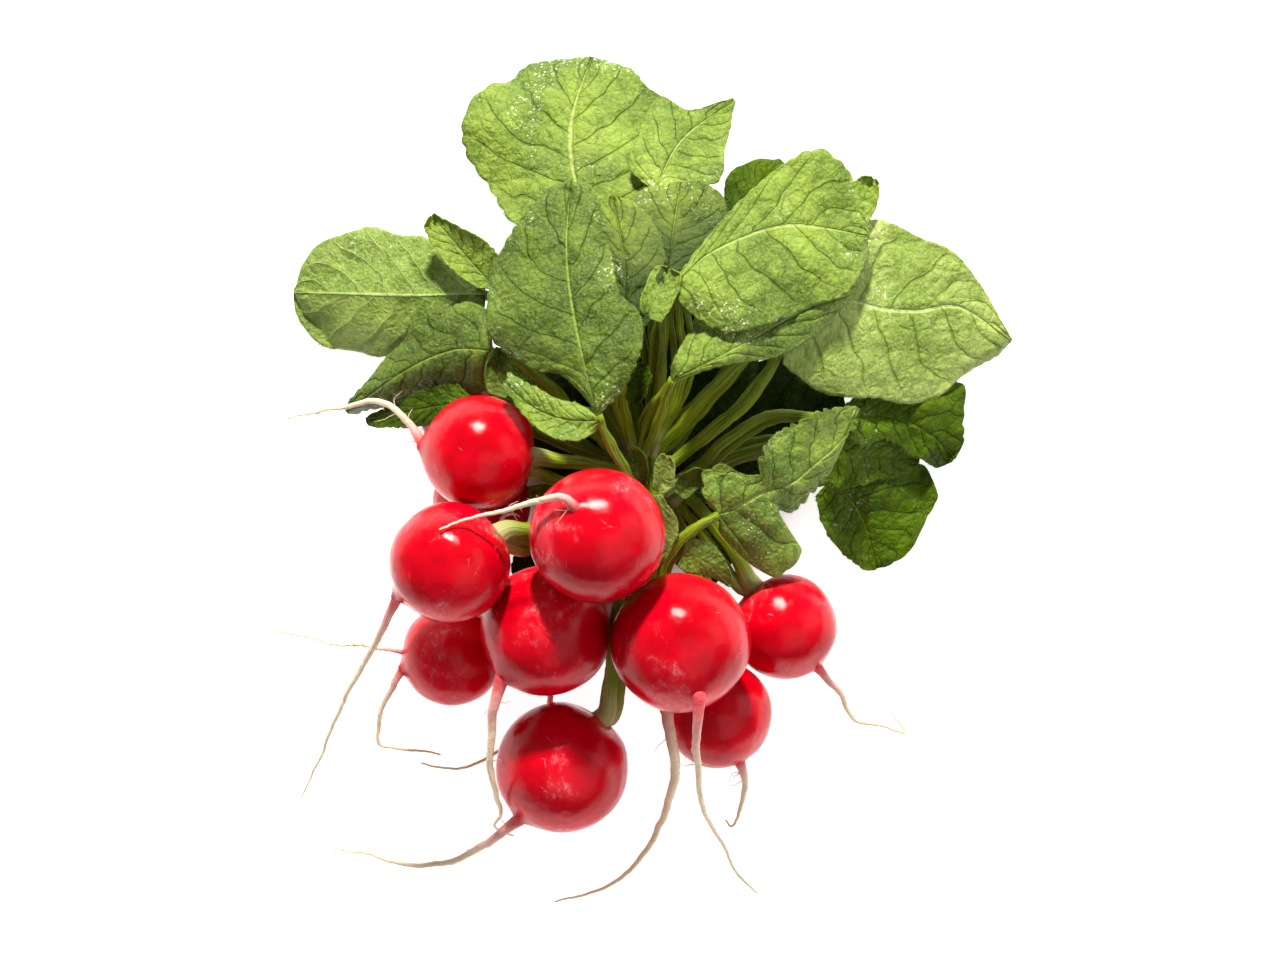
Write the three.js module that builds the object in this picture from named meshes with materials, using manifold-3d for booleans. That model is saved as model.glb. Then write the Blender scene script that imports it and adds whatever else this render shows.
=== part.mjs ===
// A bunch of thirteen round red radishes, lying on a table, seen from above.
// Millimetres, +Z up, the table at z = 0. The roots point to -Y, the leaves fan out to +Y.
// Every radish is one grown piece, bulb and root. The leaf stalks cross in one bundle.
import * as THREE from "three";
import { mergeVertices } from "three/addons/utils/BufferGeometryUtils.js";
import Module from "manifold-3d";

const wasm = await Module();
wasm.setup();

// Driving dimensions of the whole bunch.
const gap = 0.35; // clear space between neighbouring pieces
const restFlat = 0.3; // how far a radish on the table is pressed flat
const bulbSides = 14;
const bulbRings = 8;
const rootSides = 5;
const rootTip = 0.4; // radius where a root ends
const stalkSides = 5;
const stalkSteps = 5;

// The heap of leaves: high over the crossing stalks, low at the outside.
const heapCenter = new THREE.Vector2(10, 28);
const heapHeight = 30;
const heapFoot = 6;
const heapSpread = 52;

// Leaf blades.
const bladeThickness = 0.8;
const ribRise = 0.5; // how far the midrib stands out under a blade
const bladeColumns = 4;
const toothDepth = 0.5; // cut of the margin, in and out
const marginWave = 0.45; // up and down wave of the margin
const stalkWidth = 1; // half width of a blade where it leaves its stalk
const tipWidth = 0.6;
const lowestPoint = 0.5; // no leaf comes nearer to the table

// Stalks that start at a crown.
const crownReach = 2.5; // how near a bulb such a stalk starts
const crownDepth = 3.5; // how far it is led in, before it is cut clear of the bulb

const colors = {
  red: 0xc4081d,
  leaf: 0x7c9c35,
  darkLeaf: 0x3f6416,
  paleLeaf: 0x9ab556,
  deepLeaf: 0x22380a,
  stalk: 0x6f8a22,
};

// Bulb centre, radius, where the root leaves it, and the root's way to its tip.
const radishes = [
  {
    name: "radish_left_upper",
    center: [-39.9, 6.8, 37.5],
    radius: 14.5,
    rootRadius: 1.1,
    root: [
      [-53.4, 8.3, 37.5],
      [-59.9, 16.8, 33.5],
      [-66.4, 19.8, 29.5],
      [-73.4, 18.3, 25.5],
      [-82.9, 16.5, 17],
      [-88.6, 15.3, 11],
    ],
  },
  {
    name: "radish_left_middle",
    center: [-47.1, -20.8, 47.5],
    radius: 15.2,
    rootRadius: 1.1,
    root: [
      [-59.5, -28.5, 44.5],
      [-63.4, -35.5, 38],
      [-67.1, -42.8, 31],
      [-74.1, -55.3, 21],
      [-80.9, -71.5, 8],
      [-85.4, -80.3, 1.2],
    ],
  },
  {
    name: "radish_top",
    center: [-10.4, -14, 55],
    radius: 17,
    rootRadius: 1.1,
    root: [
      [-15.9, -6.8, 69.4],
      [-18.3, -4.8, 70.8],
      [-21.6, -4.5, 69.8],
      [-27.4, -6, 66.5],
      [-35.6, -8, 62.8],
      [-43.9, -10.3, 60.6],
      [-49.6, -12.5, 61.8],
    ],
  },
  {
    name: "radish_center",
    center: [-23.4, -37.8, 34.5],
    radius: 16.5,
    rootRadius: 1.4,
    root: [
      [-34.1, -49.5, 39],
      [-36.2, -56.5, 37.5],
      [-37, -65.8, 33],
      [-37.2, -72.8, 29],
      [-36, -78.5, 24.5],
      [-34.8, -84.8, 12],
      [-36.4, -87.6, 6],
      [-31.6, -90.3, 2],
    ],
  },
  {
    name: "radish_right_center",
    center: [10.4, -40.8, 41],
    radius: 17.6,
    rootRadius: 1.2,
    root: [
      [14.9, -54, 51.6],
      [14.4, -61, 49.5],
      [13.9, -66.8, 44],
      [15.1, -75.3, 35],
      [15.9, -82.5, 26],
      [19.6, -89.5, 17],
      [25.4, -100.3, 5],
      [30.1, -104.3, 1.2],
    ],
  },
  {
    name: "radish_left_lower",
    center: [-47.1, -44.3, 12.8],
    radius: 12.8,
    rootRadius: 1,
    root: [
      [-59, -47.4, 13],
      [-62.1, -51.8, 11],
      [-65.9, -61.5, 5],
      [-65.6, -66.5, 2.2],
      [-62.1, -67.5, 1.3],
      [-50.4, -69.5, 0.9],
    ],
    sideRoot: [
      [-58.8, -43.6, 14],
      [-68.4, -42, 12],
      [-77.9, -41.5, 8.5],
      [-84.1, -39.8, 5],
      [-94.1, -38.3, 1.2],
    ],
  },
  {
    name: "radish_front",
    center: [-19.4, -72.3, 16.8],
    radius: 16.8,
    rootRadius: 1.3,
    root: [
      [-29.8, -85.2, 16],
      [-34.9, -89, 13.5],
      [-40.6, -93, 8.5],
      [-49.6, -97, 3.5],
      [-59.6, -97.3, 1.6],
      [-69.6, -94.5, 1.1],
      [-78.4, -92.8, 0.9],
    ],
  },
  {
    name: "radish_right",
    center: [36.6, -37, 13.4],
    radius: 13.4,
    rootRadius: 1,
    root: [
      [44.9, -47.4, 13],
      [50.4, -53.5, 8],
      [53.4, -59, 3.5],
      [55.4, -61, 1.8],
      [61.6, -62.3, 1.1],
      [67, -64, 0.9],
      [66, -61.6, 0.9],
      [61.9, -57.3, 1],
    ],
  },
  {
    name: "radish_right_front",
    center: [19.9, -59, 13.8],
    radius: 13.8,
    rootRadius: 1.2,
    root: [
      [25.5, -71.6, 13],
      [26.6, -76, 9.5],
      [26.1, -81, 6],
      [24.6, -86.3, 3],
      [23.1, -87.5, 2],
      [21.5, -86, 1.5],
    ],
  },
  {
    name: "radish_behind_root",
    center: [1.6, -34.8, 12],
    radius: 12,
    rootRadius: 1.9,
    root: [
      [3, -45.4, 17.5],
      [5, -53, 22],
      [6.9, -59, 24],
      [8.4, -66, 23],
      [8.9, -72, 19],
      [8.2, -78, 14.5],
      [5.6, -85.8, 9],
      [1.6, -93.8, 4.5],
      [-4.6, -100.8, 2],
      [-12.1, -104.5, 1.2],
      [-21.6, -106.8, 0.9],
    ],
  },
  {
    name: "radish_under_leaf",
    center: [-44.6, 16.4, 10.6],
    radius: 10.6,
    rootRadius: 0.9,
    root: [
      [-55.3, 16.2, 9.5],
      [-60, 15.6, 5],
      [-64.5, 15.2, 1.4],
    ],
  },
  {
    name: "radish_gap",
    center: [-39.6, -6, 12.5],
    radius: 12.5,
    rootRadius: 0.8,
    root: [
      [-35.1, -11.2, 22.6],
      [-33.9, -9.5, 25.5],
      [-32.1, -8.8, 27],
      [-29.9, -9.3, 27.5],
    ],
  },
  {
    name: "radish_small_hidden",
    center: [-21.6, -41.5, 9.5],
    radius: 9.5,
    rootRadius: 0.8,
    root: [
      [-22.5, -50.6, 7],
      [-23.4, -58.3, 3],
      [-29.6, -63.5, 1.5],
      [-34.6, -68.3, 1.1],
      [-42.1, -72.3, 1],
      [-49.6, -73, 0.9],
      [-55.1, -71.8, 0.9],
    ],
  },
];

// Leaf blades. The rib runs from stalk to tip, and each side lists its margin from stalk to tip.
// A third number on a margin point is the rib station it belongs to, at a cut between two lobes.
// layer is the height over the heap, droop lowers the tip, cup lifts the margins.
const leaves = [
  {
    name: "leaf_front_center",
    color: "leaf",
    layer: 26,
    droop: 2,
    cup: -2,
    rows: 18,
    rib: [[-10.4, 15.8], [-13.4, 28], [-15.4, 36.8], [-17.4, 49.3], [-18, 60], [-17, 74.5]],
    left: [
      [-12, 18.5], [-19, 25.8], [-26.4, 27.3], [-36.4, 34.8], [-38, 41.5], [-36.4, 53],
      [-29.6, 64.8], [-22, 73],
    ],
    right: [
      [-9.6, 16.3], [-3.4, 23.5], [0.4, 33], [0.4, 41], [-5, 47], [-7.4, 57.3], [-9.6, 68.5],
      [-13, 73.5],
    ],
    lobe: {
      rows: 7,
      rib: [[-9.4, 14.6], [-19, 15], [-27, 18.4], [-33.4, 24.3]],
      left: [[-10.5, 12.2], [-17, 9.5], [-26, 13.5], [-32, 21]],
      right: [[-11, 17.4], [-19.6, 20], [-27, 23.5], [-32.6, 26.8]],
    },
  },
  {
    name: "leaf_right_upper",
    color: "leaf",
    layer: 20,
    droop: 4,
    cup: -2,
    rows: 18,
    rib: [[9.4, 49], [17, 56], [31, 62.3], [40.4, 63.5], [57.6, 61]],
    left: [[15.4, 58.5], [25.4, 69.8], [35.4, 78.5], [45, 82.5], [51.6, 78.5], [55.4, 71]],
    right: [
      [9.4, 44.8], [14, 40.3], [21.9, 36.3], [30.4, 38.5], [40.4, 41.8], [51.9, 46.8],
      [56.6, 54.3],
    ],
  },
  {
    name: "leaf_right_under",
    color: "leaf",
    layer: 14.5,
    droop: 2,
    cup: -1.5,
    rows: 14,
    rib: [[8.4, 24.8], [22, 31.5], [38, 40.5], [54, 48.5]],
    left: [[8, 28], [13, 37], [25, 45], [40, 51], [50, 52]],
    right: [[15.4, 26.8], [25.4, 29.3], [34.9, 30.8], [45.4, 37.3], [52.9, 45.5]],
  },
  {
    name: "leaf_left_folded",
    color: "leaf",
    layer: 18,
    droop: 1,
    cup: 1.5,
    rows: 6,
    rib: [[-32.5, 21], [-36, 27], [-34.8, 33]],
    left: [[-37.5, 22], [-38.4, 27.5], [-36.6, 31]],
    right: [[-31.6, 24], [-31.9, 28.5], [-33.4, 31.5]],
  },
  {
    name: "leaf_heart_curled",
    color: "leaf",
    layer: 18.5,
    droop: 0,
    cup: 2,
    rows: 6,
    rib: [[2, 40.5], [5, 46.5], [7.5, 52.5]],
    left: [[0.4, 43.5], [2, 49], [4.5, 53]],
    right: [[5.5, 39.5], [8.5, 44], [10.4, 50.5]],
  },
  {
    name: "leaf_right_large",
    color: "paleLeaf",
    layer: 8,
    droop: 9,
    cup: -1,
    rows: 20,
    rib: [[39, 40.3], [51.9, 44.8], [60.4, 43], [69.4, 42.3], [80.4, 43.5], [94, 34.8]],
    left: [
      [40, 50], [48, 59], [57.4, 65], [62.9, 64.5], [71.6, 60.8], [78.9, 57.3], [85.4, 50.5],
      [90.4, 42.3],
    ],
    right: [
      [35.9, 29.3], [40.4, 25.3], [47.9, 21.5], [54.4, 20], [60.4, 20.3], [68.4, 18.5],
      [75.4, 21], [81.6, 26.3], [90.4, 31],
    ],
  },
  {
    name: "leaf_left_large",
    color: "paleLeaf",
    layer: 5,
    droop: 10,
    cup: -1,
    rows: 18,
    rib: [[-38.4, 46.5], [-47, 46.5], [-59.6, 46.3], [-72, 46.8], [-87.4, 47.3]],
    left: [
      [-39.6, 39.8], [-49.6, 33.5], [-64.6, 30.5], [-72, 32.3], [-80, 34.3], [-84.6, 38.5],
      [-87, 43.5],
    ],
    right: [
      [-42, 52.3], [-46, 54.3], [-54.6, 61], [-63.4, 63.3], [-69.6, 63.5], [-78.4, 60.3],
      [-84.6, 54.3],
    ],
  },
  {
    name: "leaf_left_small",
    color: "leaf",
    layer: 10,
    droop: -3,
    cup: 2,
    rows: 8,
    rib: [[-36.6, 48.5], [-43.4, 56], [-52, 66.3]],
    left: [[-42, 49.3], [-48.4, 54.3], [-53.9, 62.8]],
    right: [[-35.4, 56], [-40.9, 61], [-47, 64.3]],
  },
  {
    name: "leaf_left_low",
    color: "leaf",
    layer: 13,
    droop: 14,
    cup: -2,
    rows: 14,
    rib: [[-36.6, 32.3], [-47, 32.3], [-59.6, 26.8], [-73.9, 17]],
    left: [[-37, 23.5], [-49.6, 21.8], [-59.6, 19.8], [-67, 17.8]],
    right: [
      [-37.9, 42.3], [-43.4, 44], [-49.6, 42.3], [-57, 41], [-58.4, 36], [-65.9, 28.5],
      [-72, 21],
    ],
  },
  {
    name: "leaf_left_dark",
    color: "darkLeaf",
    layer: 9,
    droop: 12,
    cup: 0,
    rows: 8,
    rib: [[-42, 19.8], [-54.6, 17.8], [-69, 14.8]],
    left: [[-45, 15.8], [-52, 13.8], [-59.6, 13], [-68, 13.6]],
    right: [[-46, 24], [-56, 22], [-66, 17.4]],
  },
  {
    name: "leaf_top_large",
    color: "leaf",
    layer: 8,
    droop: 9,
    cup: -1,
    rows: 20,
    rib: [[-9.6, 61], [-15.9, 74.8], [-17, 89.8], [-12, 106.8]],
    left: [
      [-19.6, 63.5], [-31.6, 64.3], [-38.4, 74.8], [-44.4, 87.3], [-43.4, 96], [-37, 100],
      [-32, 100.3], [-27, 104.3], [-19.6, 106],
    ],
    right: [[0.4, 69.8], [6.6, 82.3], [6.6, 94.8], [0.4, 99.8], [-3.4, 103.5]],
  },
  {
    name: "leaf_top_pointed",
    color: "leaf",
    layer: 12,
    droop: 5,
    cup: 0,
    rows: 12,
    rib: [[4, 72.3], [10.4, 84.8], [24, 95.5]],
    left: [[-2, 78], [0.4, 87.3], [5.4, 96], [12.9, 92.8]],
    right: [[15.4, 73.5], [19.9, 75.3], [22.4, 84.8]],
  },
  {
    name: "leaf_middle_light",
    color: "paleLeaf",
    layer: 18.5,
    droop: 1,
    cup: 0,
    rows: 10,
    rib: [[-3.4, 37.3], [-3.4, 52.3], [-6.6, 71]],
    left: [[-8, 44], [-12, 54.8], [-12, 68.5]],
    right: [[2.9, 39.8], [6.6, 53.5], [4, 63.5], [-2, 69.8]],
  },
  {
    name: "leaf_middle_dark",
    color: "darkLeaf",
    layer: 14.5,
    droop: 2,
    cup: 0,
    rows: 12,
    rib: [[6.6, 47.3], [8.4, 61], [10.4, 74.5]],
    left: [[4, 51], [0.4, 61], [-4.6, 66], [0.4, 72.3]],
    right: [[15.4, 52.3], [20, 60], [22, 66], [19, 72.8]],
  },
  {
    name: "leaf_back_right",
    color: "darkLeaf",
    layer: 6,
    droop: 3,
    cup: 0,
    rows: 8,
    rib: [[24, 64], [28, 72], [35.9, 80.3]],
    left: [[21.5, 69], [22.4, 76.5], [28, 80]],
    right: [[29, 66], [35, 72], [38, 77.5]],
  },
  {
    name: "leaf_back_curl",
    color: "leaf",
    layer: 8,
    droop: -2,
    cup: 2,
    rows: 6,
    rib: [[50, 60], [54.5, 67], [59, 75.6]],
    left: [[49, 65], [52, 72], [56, 76]],
    right: [[54.6, 61.5], [59, 67.6], [60.2, 73]],
  },
  {
    name: "leaf_right_dark",
    color: "darkLeaf",
    layer: 1,
    droop: 8,
    cup: 0,
    rows: 12,
    rib: [[50.4, 14.8], [62.9, 15.8], [74, 11], [79.6, 5]],
    left: [[54, 20], [62, 23], [70.4, 25], [80.9, 23.5], [82.5, 17.3], [82, 10]],
    right: [[55.4, 8], [62, 11], [69.9, 6.3], [76, 3.6]],
  },
  {
    name: "leaf_right_low",
    color: "darkLeaf",
    layer: -3,
    droop: 5,
    cup: 0,
    rows: 10,
    rib: [[49, 8], [57.9, 6], [70.9, 5]],
    left: [[53, 12], [61, 12], [69, 9]],
    right: [[47, 3], [50.4, -1.7], [61.9, 0], [67.6, 1.5]],
  },
  {
    name: "leaf_right_bottom",
    color: "darkLeaf",
    layer: -7.5,
    droop: 2.5,
    cup: 0,
    rows: 12,
    rib: [[47.9, -0.3], [55.4, -8.3], [60.4, -22.5]],
    left: [[57.9, 2.3], [66, 4], [71.6, 3], [75.9, -4], [71.6, -11.5], [67.6, -18.8], [63, -22]],
    right: [[45, -5.3], [49, -15.3], [54, -21]],
  },
  {
    name: "leaf_front_lobed",
    color: "leaf",
    layer: 11,
    droop: 5,
    cup: -1,
    rows: 22,
    rib: [[19.9, -8.8], [26.2, -6], [32.3, -2.7], [38.6, -0.9], [43.1, 2.8], [50.8, 9.8], [55, 18]],
    left: [
      [17.4, -6.6], [15.8, -1.5], [16.8, 2.6], [21.7, 3.6], [25, 1.6], [29.6, 0.7, 0.3],
      [30.4, 5], [31.6, 8.9], [36, 12.6], [43.2, 15.8], [52, 18.4],
    ],
    right: [
      [20.1, -13], [27.4, -20.6], [32.3, -23.9], [35.9, -24.2], [41.2, -18.4], [36.8, -13],
      [34.8, -8.6, 0.36], [38, -8.8], [41.7, -5.1], [45.9, -0.3], [49.3, 4.6], [54, 13.8],
    ],
  },
  {
    name: "leaf_front_small",
    color: "leaf",
    layer: 12.5,
    droop: 2,
    cup: 0,
    rows: 7,
    rib: [[10.5, -19], [15.5, -20], [23.1, -26.6]],
    left: [[13, -14.8], [17.4, -15.8], [20.6, -18.7], [22.7, -22.9]],
    right: [[9.9, -21.7], [12.4, -23.2], [17.6, -24.2]],
  },
  {
    name: "leaf_behind_top_radish",
    color: "paleLeaf",
    layer: 15,
    droop: 2,
    cup: 0,
    rows: 6,
    rib: [[4.5, -4], [6.6, -12], [5, -21.5]],
    left: [[6.4, -5], [9.9, -11.7], [8.1, -17]],
    right: [[2.4, -5], [3, -12], [2.6, -19]],
  },
  {
    name: "leaf_stalk_wing",
    color: "leaf",
    layer: 11,
    droop: 2,
    cup: 1,
    rows: 6,
    rib: [[-3.4, 5.5], [-1, 3], [1.2, -1.5]],
    left: [[-1, 8], [1.4, 6], [2.2, 2]],
    right: [[-4.4, 3], [-3, -0.3], [-0.6, -2]],
  },
  {
    name: "leaf_heart_bright",
    color: "paleLeaf",
    layer: 7,
    droop: 0,
    cup: 1,
    rows: 6,
    rib: [[4.6, -3], [6, 1], [7, 6]],
    left: [[3.6, -0.5], [3.9, 3.4], [5, 6]],
    right: [[6.6, -3.2], [8.6, -0.6], [8.6, 4]],
  },
  {
    name: "leaf_heart_folded",
    color: "leaf",
    layer: 4,
    droop: 0,
    cup: 1,
    rows: 6,
    rib: [[10, -4], [12.5, -1], [16.3, 2]],
    left: [[9, -1.6], [10.4, 1], [14, 2.6]],
    right: [[12, -4.4], [14.8, -1.8], [16.4, 0.4]],
  },
  {
    name: "leaf_heart_curly",
    color: "darkLeaf",
    layer: 9.5,
    droop: 0,
    cup: 1,
    rows: 6,
    rib: [[-1.4, 19], [-0.4, 23.4], [0.4, 29]],
    left: [[-3, 21], [-3, 26]],
    right: [[1, 20.6], [2.6, 24], [2.6, 27.6]],
  },
  {
    name: "leaf_under_heart",
    color: "deepLeaf",
    layer: -18,
    droop: 1,
    cup: -1,
    rows: 10,
    rib: [[2, -2], [7, 14], [12, 34], [15, 54]],
    left: [[-8, 8], [-13, 26], [-8, 46]],
    right: [[14, 4], [27, 20], [29, 40]],
  },
  {
    name: "leaf_under_right",
    color: "deepLeaf",
    layer: -21,
    droop: 1,
    cup: 1,
    rows: 10,
    rib: [[6, 0], [20, 9], [36, 15], [52, 20]],
    left: [[12, 16], [26, 28], [42, 32]],
    right: [[14, -5], [28, -7], [42, 0], [52, 10]],
  },
  {
    name: "leaf_under_left",
    color: "deepLeaf",
    layer: -22,
    droop: 1,
    cup: 1,
    rows: 10,
    rib: [[-2, 0], [-14, 10], [-26, 22], [-34, 32]],
    left: [[-12, -5], [-24, 2], [-33, 14], [-37, 26]],
    right: [[0, 14], [-10, 28], [-22, 36]],
  },
  {
    name: "leaf_under_front",
    color: "deepLeaf",
    layer: -15,
    droop: 1,
    cup: 0,
    rows: 8,
    rib: [[4, -6], [14, -14], [24, -20]],
    left: [[12, -4], [24, -9], [31, -15]],
    right: [[2, -16], [10, -22], [18, -27]],
  },
  {
    name: "leaf_under_bulbs",
    color: "deepLeaf",
    layer: -12,
    droop: 1,
    cup: 0,
    rows: 8,
    rib: [[-4, -6], [-18, -14], [-32, -24]],
    left: [[-2, -16], [-14, -24], [-26, -30]],
    right: [[-10, -2], [-22, -8], [-31, -18]],
  },
];

// Leaf stalks, from the crown of a radish through the crossing to the base of a blade.
// The first number is the radius at the crown, the second at the blade.
const stalks = [
  {
    radii: [1.6, 1.1],
    way: [[-4.6, -20, 36], [-1, -8, 30], [-2.6, 1, 40], [-6.6, 8, 50], [-10.4, 15.8, 56]],
  },
  {
    radii: [1.8, 1.2],
    way: [
      [5.6, -25, 27], [3.6, 5.8, 28], [6.5, 10.3, 30.5], [12.8, 17.3, 34], [21, 25, 37],
      [30, 34, 38],
    ],
  },
  { radii: [1.6, 1.2], way: [[0, 4, 28], [4, 13, 38], [8.4, 24.8, 49.5]] },
  {
    radii: [1.8, 1.4],
    way: [
      [2, 0, 25], [13.6, 8.3, 30], [19.4, 12.8, 32], [26, 18, 33], [33, 28, 33],
      [39, 40.3, 34.6],
    ],
  },
  {
    radii: [1.9, 1.3],
    way: [[6, -3, 24], [13.6, 2, 26], [22, 10, 28], [33.4, 16, 26], [50.4, 14.8, 22.5]],
  },
  { radii: [1.7, 1.2], way: [[8, -6, 20], [17, 2, 22], [30, 8, 22], [49, 8, 17.2]] },
  { radii: [1.6, 1.2], way: [[6, -5, 17], [20, -3, 17], [34, -1, 14.5], [47.9, -0.3, 11.4]] },
  {
    radii: [1.6, 1.2],
    way: [
      [5.8, -25.8, 28.5], [6.4, -20.8, 31], [9, -17.5, 32.6], [13, -12.9, 34.4],
      [19.9, -8.8, 34.4],
    ],
  },
  { radii: [1.7, 1.2], way: [[2, 2, 20], [-2, 28, 26], [-6, 45, 29], [-9.6, 61, 31.4]] },
  { radii: [1.7, 1.2], way: [[5, 4, 23], [4, 30, 31], [3, 50, 34], [4, 72.3, 32.2]] },
  { radii: [1.6, 1.1], way: [[-1, 6, 28], [-4, 22, 43], [-3.4, 37.3, 53.8]] },
  { radii: [1.6, 1.1], way: [[2, 4, 26], [5, 20, 36], [6.2, 34, 44], [6.6, 47.3, 47.6]] },
  { radii: [1.6, 1.1], way: [[3, 6, 28], [11, 28, 40], [10, 40, 46], [9.4, 49, 51]] },
  { radii: [1.5, 1], way: [[5, 4, 21], [14, 35, 27], [20, 52, 28], [24, 64, 28.6]] },
  { radii: [1.5, 1], way: [[6, 3, 22], [22, 28, 27], [38, 48, 26], [50, 60, 24.6]] },
  { radii: [1.7, 1.3], way: [[0, 2, 19], [-14, 25, 21], [-28, 41, 22.5], [-38.4, 46.5, 22.4]] },
  { radii: [1.5, 1], way: [[0, 4, 22], [-16, 30, 27], [-29, 44, 28], [-36.6, 48.5, 27.6]] },
  { radii: [1.6, 1.1], way: [[-1, 2, 25], [-18, 18, 31], [-28, 28, 32.5], [-36.6, 32.3, 32.3]] },
  { radii: [1.4, 1], way: [[-2, 1, 21], [-22, 14, 24], [-34, 19.8, 26.4], [-42, 19.8, 25.8]] },
  { radii: [2.4, 1.5], way: [[-24.6, 5.4, 36.6], [-18, 4.4, 33], [-8, 3, 28], [2, 1, 23]] },
  { radii: [2.2, 1.4], way: [[-25.4, 2, 34], [-18, -1, 28], [-6, 0, 24]] },
  {
    radii: [2.5, 1.5],
    way: [[-33.2, -12.6, 42.4], [-28.4, -12.6, 39.4], [-22, -10.6, 32], [-4, 0, 24]],
  },
  {
    radii: [2, 1.4],
    way: [[-33.4, -16, 39.6], [-28.6, -17.6, 35.6], [-20, -14, 27], [-4, -2, 21]],
  },
  { radii: [2.4, 1.5], way: [[-11.6, -24.8, 29.8], [-7.6, -17, 26], [0, -2, 22]] },
  {
    radii: [2, 1.4],
    way: [[-34, -40.4, 11.5], [-29, -32.4, 10.5], [-20, -22, 11.5], [-2, -2, 18]],
  },
  {
    radii: [2.3, 1.5],
    way: [[-8.2, -58.4, 17.5], [-7.2, -51, 21], [-6.4, -40, 25], [-4, -22, 24.5], [0, -4, 22]],
  },
  { radii: [2.4, 1.5], way: [[27.4, -25.2, 14.6], [23, -17, 18], [12, -4, 21], [4, 2, 22]] },
  { radii: [2, 1.4], way: [[14.8, -44.4, 13.5], [16.2, -36, 13], [14, -22, 14.5], [6, -2, 19]] },
  { radii: [2, 1.4], way: [[0.6, -22.4, 11], [1, -12, 15], [2, -2, 20]] },
  { radii: [2, 1.4], way: [[-33.2, 15.4, 12.2], [-22, 10, 15], [0, 2, 21]] },
  { radii: [2, 1.4], way: [[-26.8, -4.6, 12.6], [-16, -3, 15.5], [0, 0, 20]] },
  { radii: [1.8, 1.3], way: [[-15.6, -33, 10], [-10.6, -23, 11.5], [0, -4, 18]] },
];

// The densest part of the crossing, which the stalks stand out of.
const crossing = { center: [3, 1, 22], size: [7.5, 6.5, 4.5] };

const vector = (point) => new THREE.Vector3(...point);

// A closed geometry as a solid, turned inside out first where its faces point in.
function solidFrom(geometry) {
  const bare = geometry.clone();
  bare.deleteAttribute("normal");
  bare.deleteAttribute("uv");
  const merged = mergeVertices(bare, 1e-4);
  const vertProperties = new Float32Array(merged.attributes.position.array);
  const triVerts = new Uint32Array(merged.index.array);
  const solid = new wasm.Manifold(new wasm.Mesh({ numProp: 3, vertProperties, triVerts }));
  if (solid.volume() > 0) {
    return solid;
  }
  for (let i = 0; i < triVerts.length; i += 3) {
    [triVerts[i + 1], triVerts[i + 2]] = [triVerts[i + 2], triVerts[i + 1]];
  }
  return new wasm.Manifold(new wasm.Mesh({ numProp: 3, vertProperties, triVerts }));
}

// The largest body of a solid, without the loose scraps that a cut can leave.
function mainBody(solid) {
  const bodies = solid.decompose();
  return bodies.reduce((best, body) => (body.volume() > best.volume() ? body : best));
}

function nodeFrom(name, solid, color) {
  const mesh = mainBody(solid).getMesh();
  const geometry = new THREE.BufferGeometry();
  geometry.setAttribute("position", new THREE.BufferAttribute(mesh.vertProperties, 3));
  geometry.setIndex(new THREE.BufferAttribute(mesh.triVerts, 1));
  const roughness = color === "red" ? 0.25 : 0.6;
  const material = new THREE.MeshStandardMaterial({ color: colors[color], roughness, metalness: 0 });
  const node = new THREE.Mesh(geometry, material);
  node.name = name;
  return node;
}

// A round tube along a smooth curve, closed at both ends, with its own radius at each step.
function taperedTube(points, radiusAt, steps, sides) {
  const curve = new THREE.CatmullRomCurve3(points.map(vector), false, "centripetal");
  const frames = curve.computeFrenetFrames(steps, false);
  const positions = [];
  const index = [];
  for (let i = 0; i <= steps; i++) {
    const middle = curve.getPointAt(i / steps);
    for (let j = 0; j < sides; j++) {
      const angle = (2 * Math.PI * j) / sides;
      const point = middle.clone();
      point.addScaledVector(frames.normals[i], radiusAt(i / steps) * Math.cos(angle));
      point.addScaledVector(frames.binormals[i], radiusAt(i / steps) * Math.sin(angle));
      positions.push(...point.toArray());
    }
  }
  for (let i = 0; i < steps; i++) {
    for (let j = 0; j < sides; j++) {
      const next = (j + 1) % sides;
      const [a, b] = [i * sides + j, i * sides + next];
      const [c, d] = [(i + 1) * sides + next, (i + 1) * sides + j];
      index.push(a, b, c, a, c, d);
    }
  }
  for (let j = 1; j < sides - 1; j++) {
    const last = steps * sides;
    index.push(0, j + 1, j, last, last + j, last + j + 1);
  }
  const geometry = new THREE.BufferGeometry();
  geometry.setAttribute("position", new THREE.Float32BufferAttribute(positions, 3));
  geometry.setIndex(index);
  return geometry;
}

// A bulb turned about its own axis: a slightly flat crown, a round belly and a short
// cone that runs out into the root. swell makes the same bulb larger all round.
function bulbSolid(radish, swell) {
  const center = vector(radish.center);
  const axis = vector(radish.root[0]).sub(center);
  const reach = Math.max(axis.length(), radish.radius * 1.02) + swell;
  const radius = radish.radius + swell;
  const profile = [new THREE.Vector2(0, -radius * 0.93)];
  for (let k = 1; k < bulbRings; k++) {
    const angle = (Math.PI * k) / bulbRings;
    const flatter = angle < 0.6 ? 0.97 : 1;
    profile.push(new THREE.Vector2(radius * Math.sin(angle), -radius * flatter * Math.cos(angle)));
  }
  profile.push(new THREE.Vector2(radish.rootRadius * 1.5, reach));
  profile.push(new THREE.Vector2(0, reach));
  const geometry = new THREE.LatheGeometry(profile, bulbSides);
  const turn = new THREE.Quaternion();
  turn.setFromUnitVectors(new THREE.Vector3(0, 1, 0), axis.normalize());
  geometry.applyQuaternion(turn);
  geometry.translate(center.x, center.y, center.z);
  return solidFrom(geometry);
}

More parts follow.
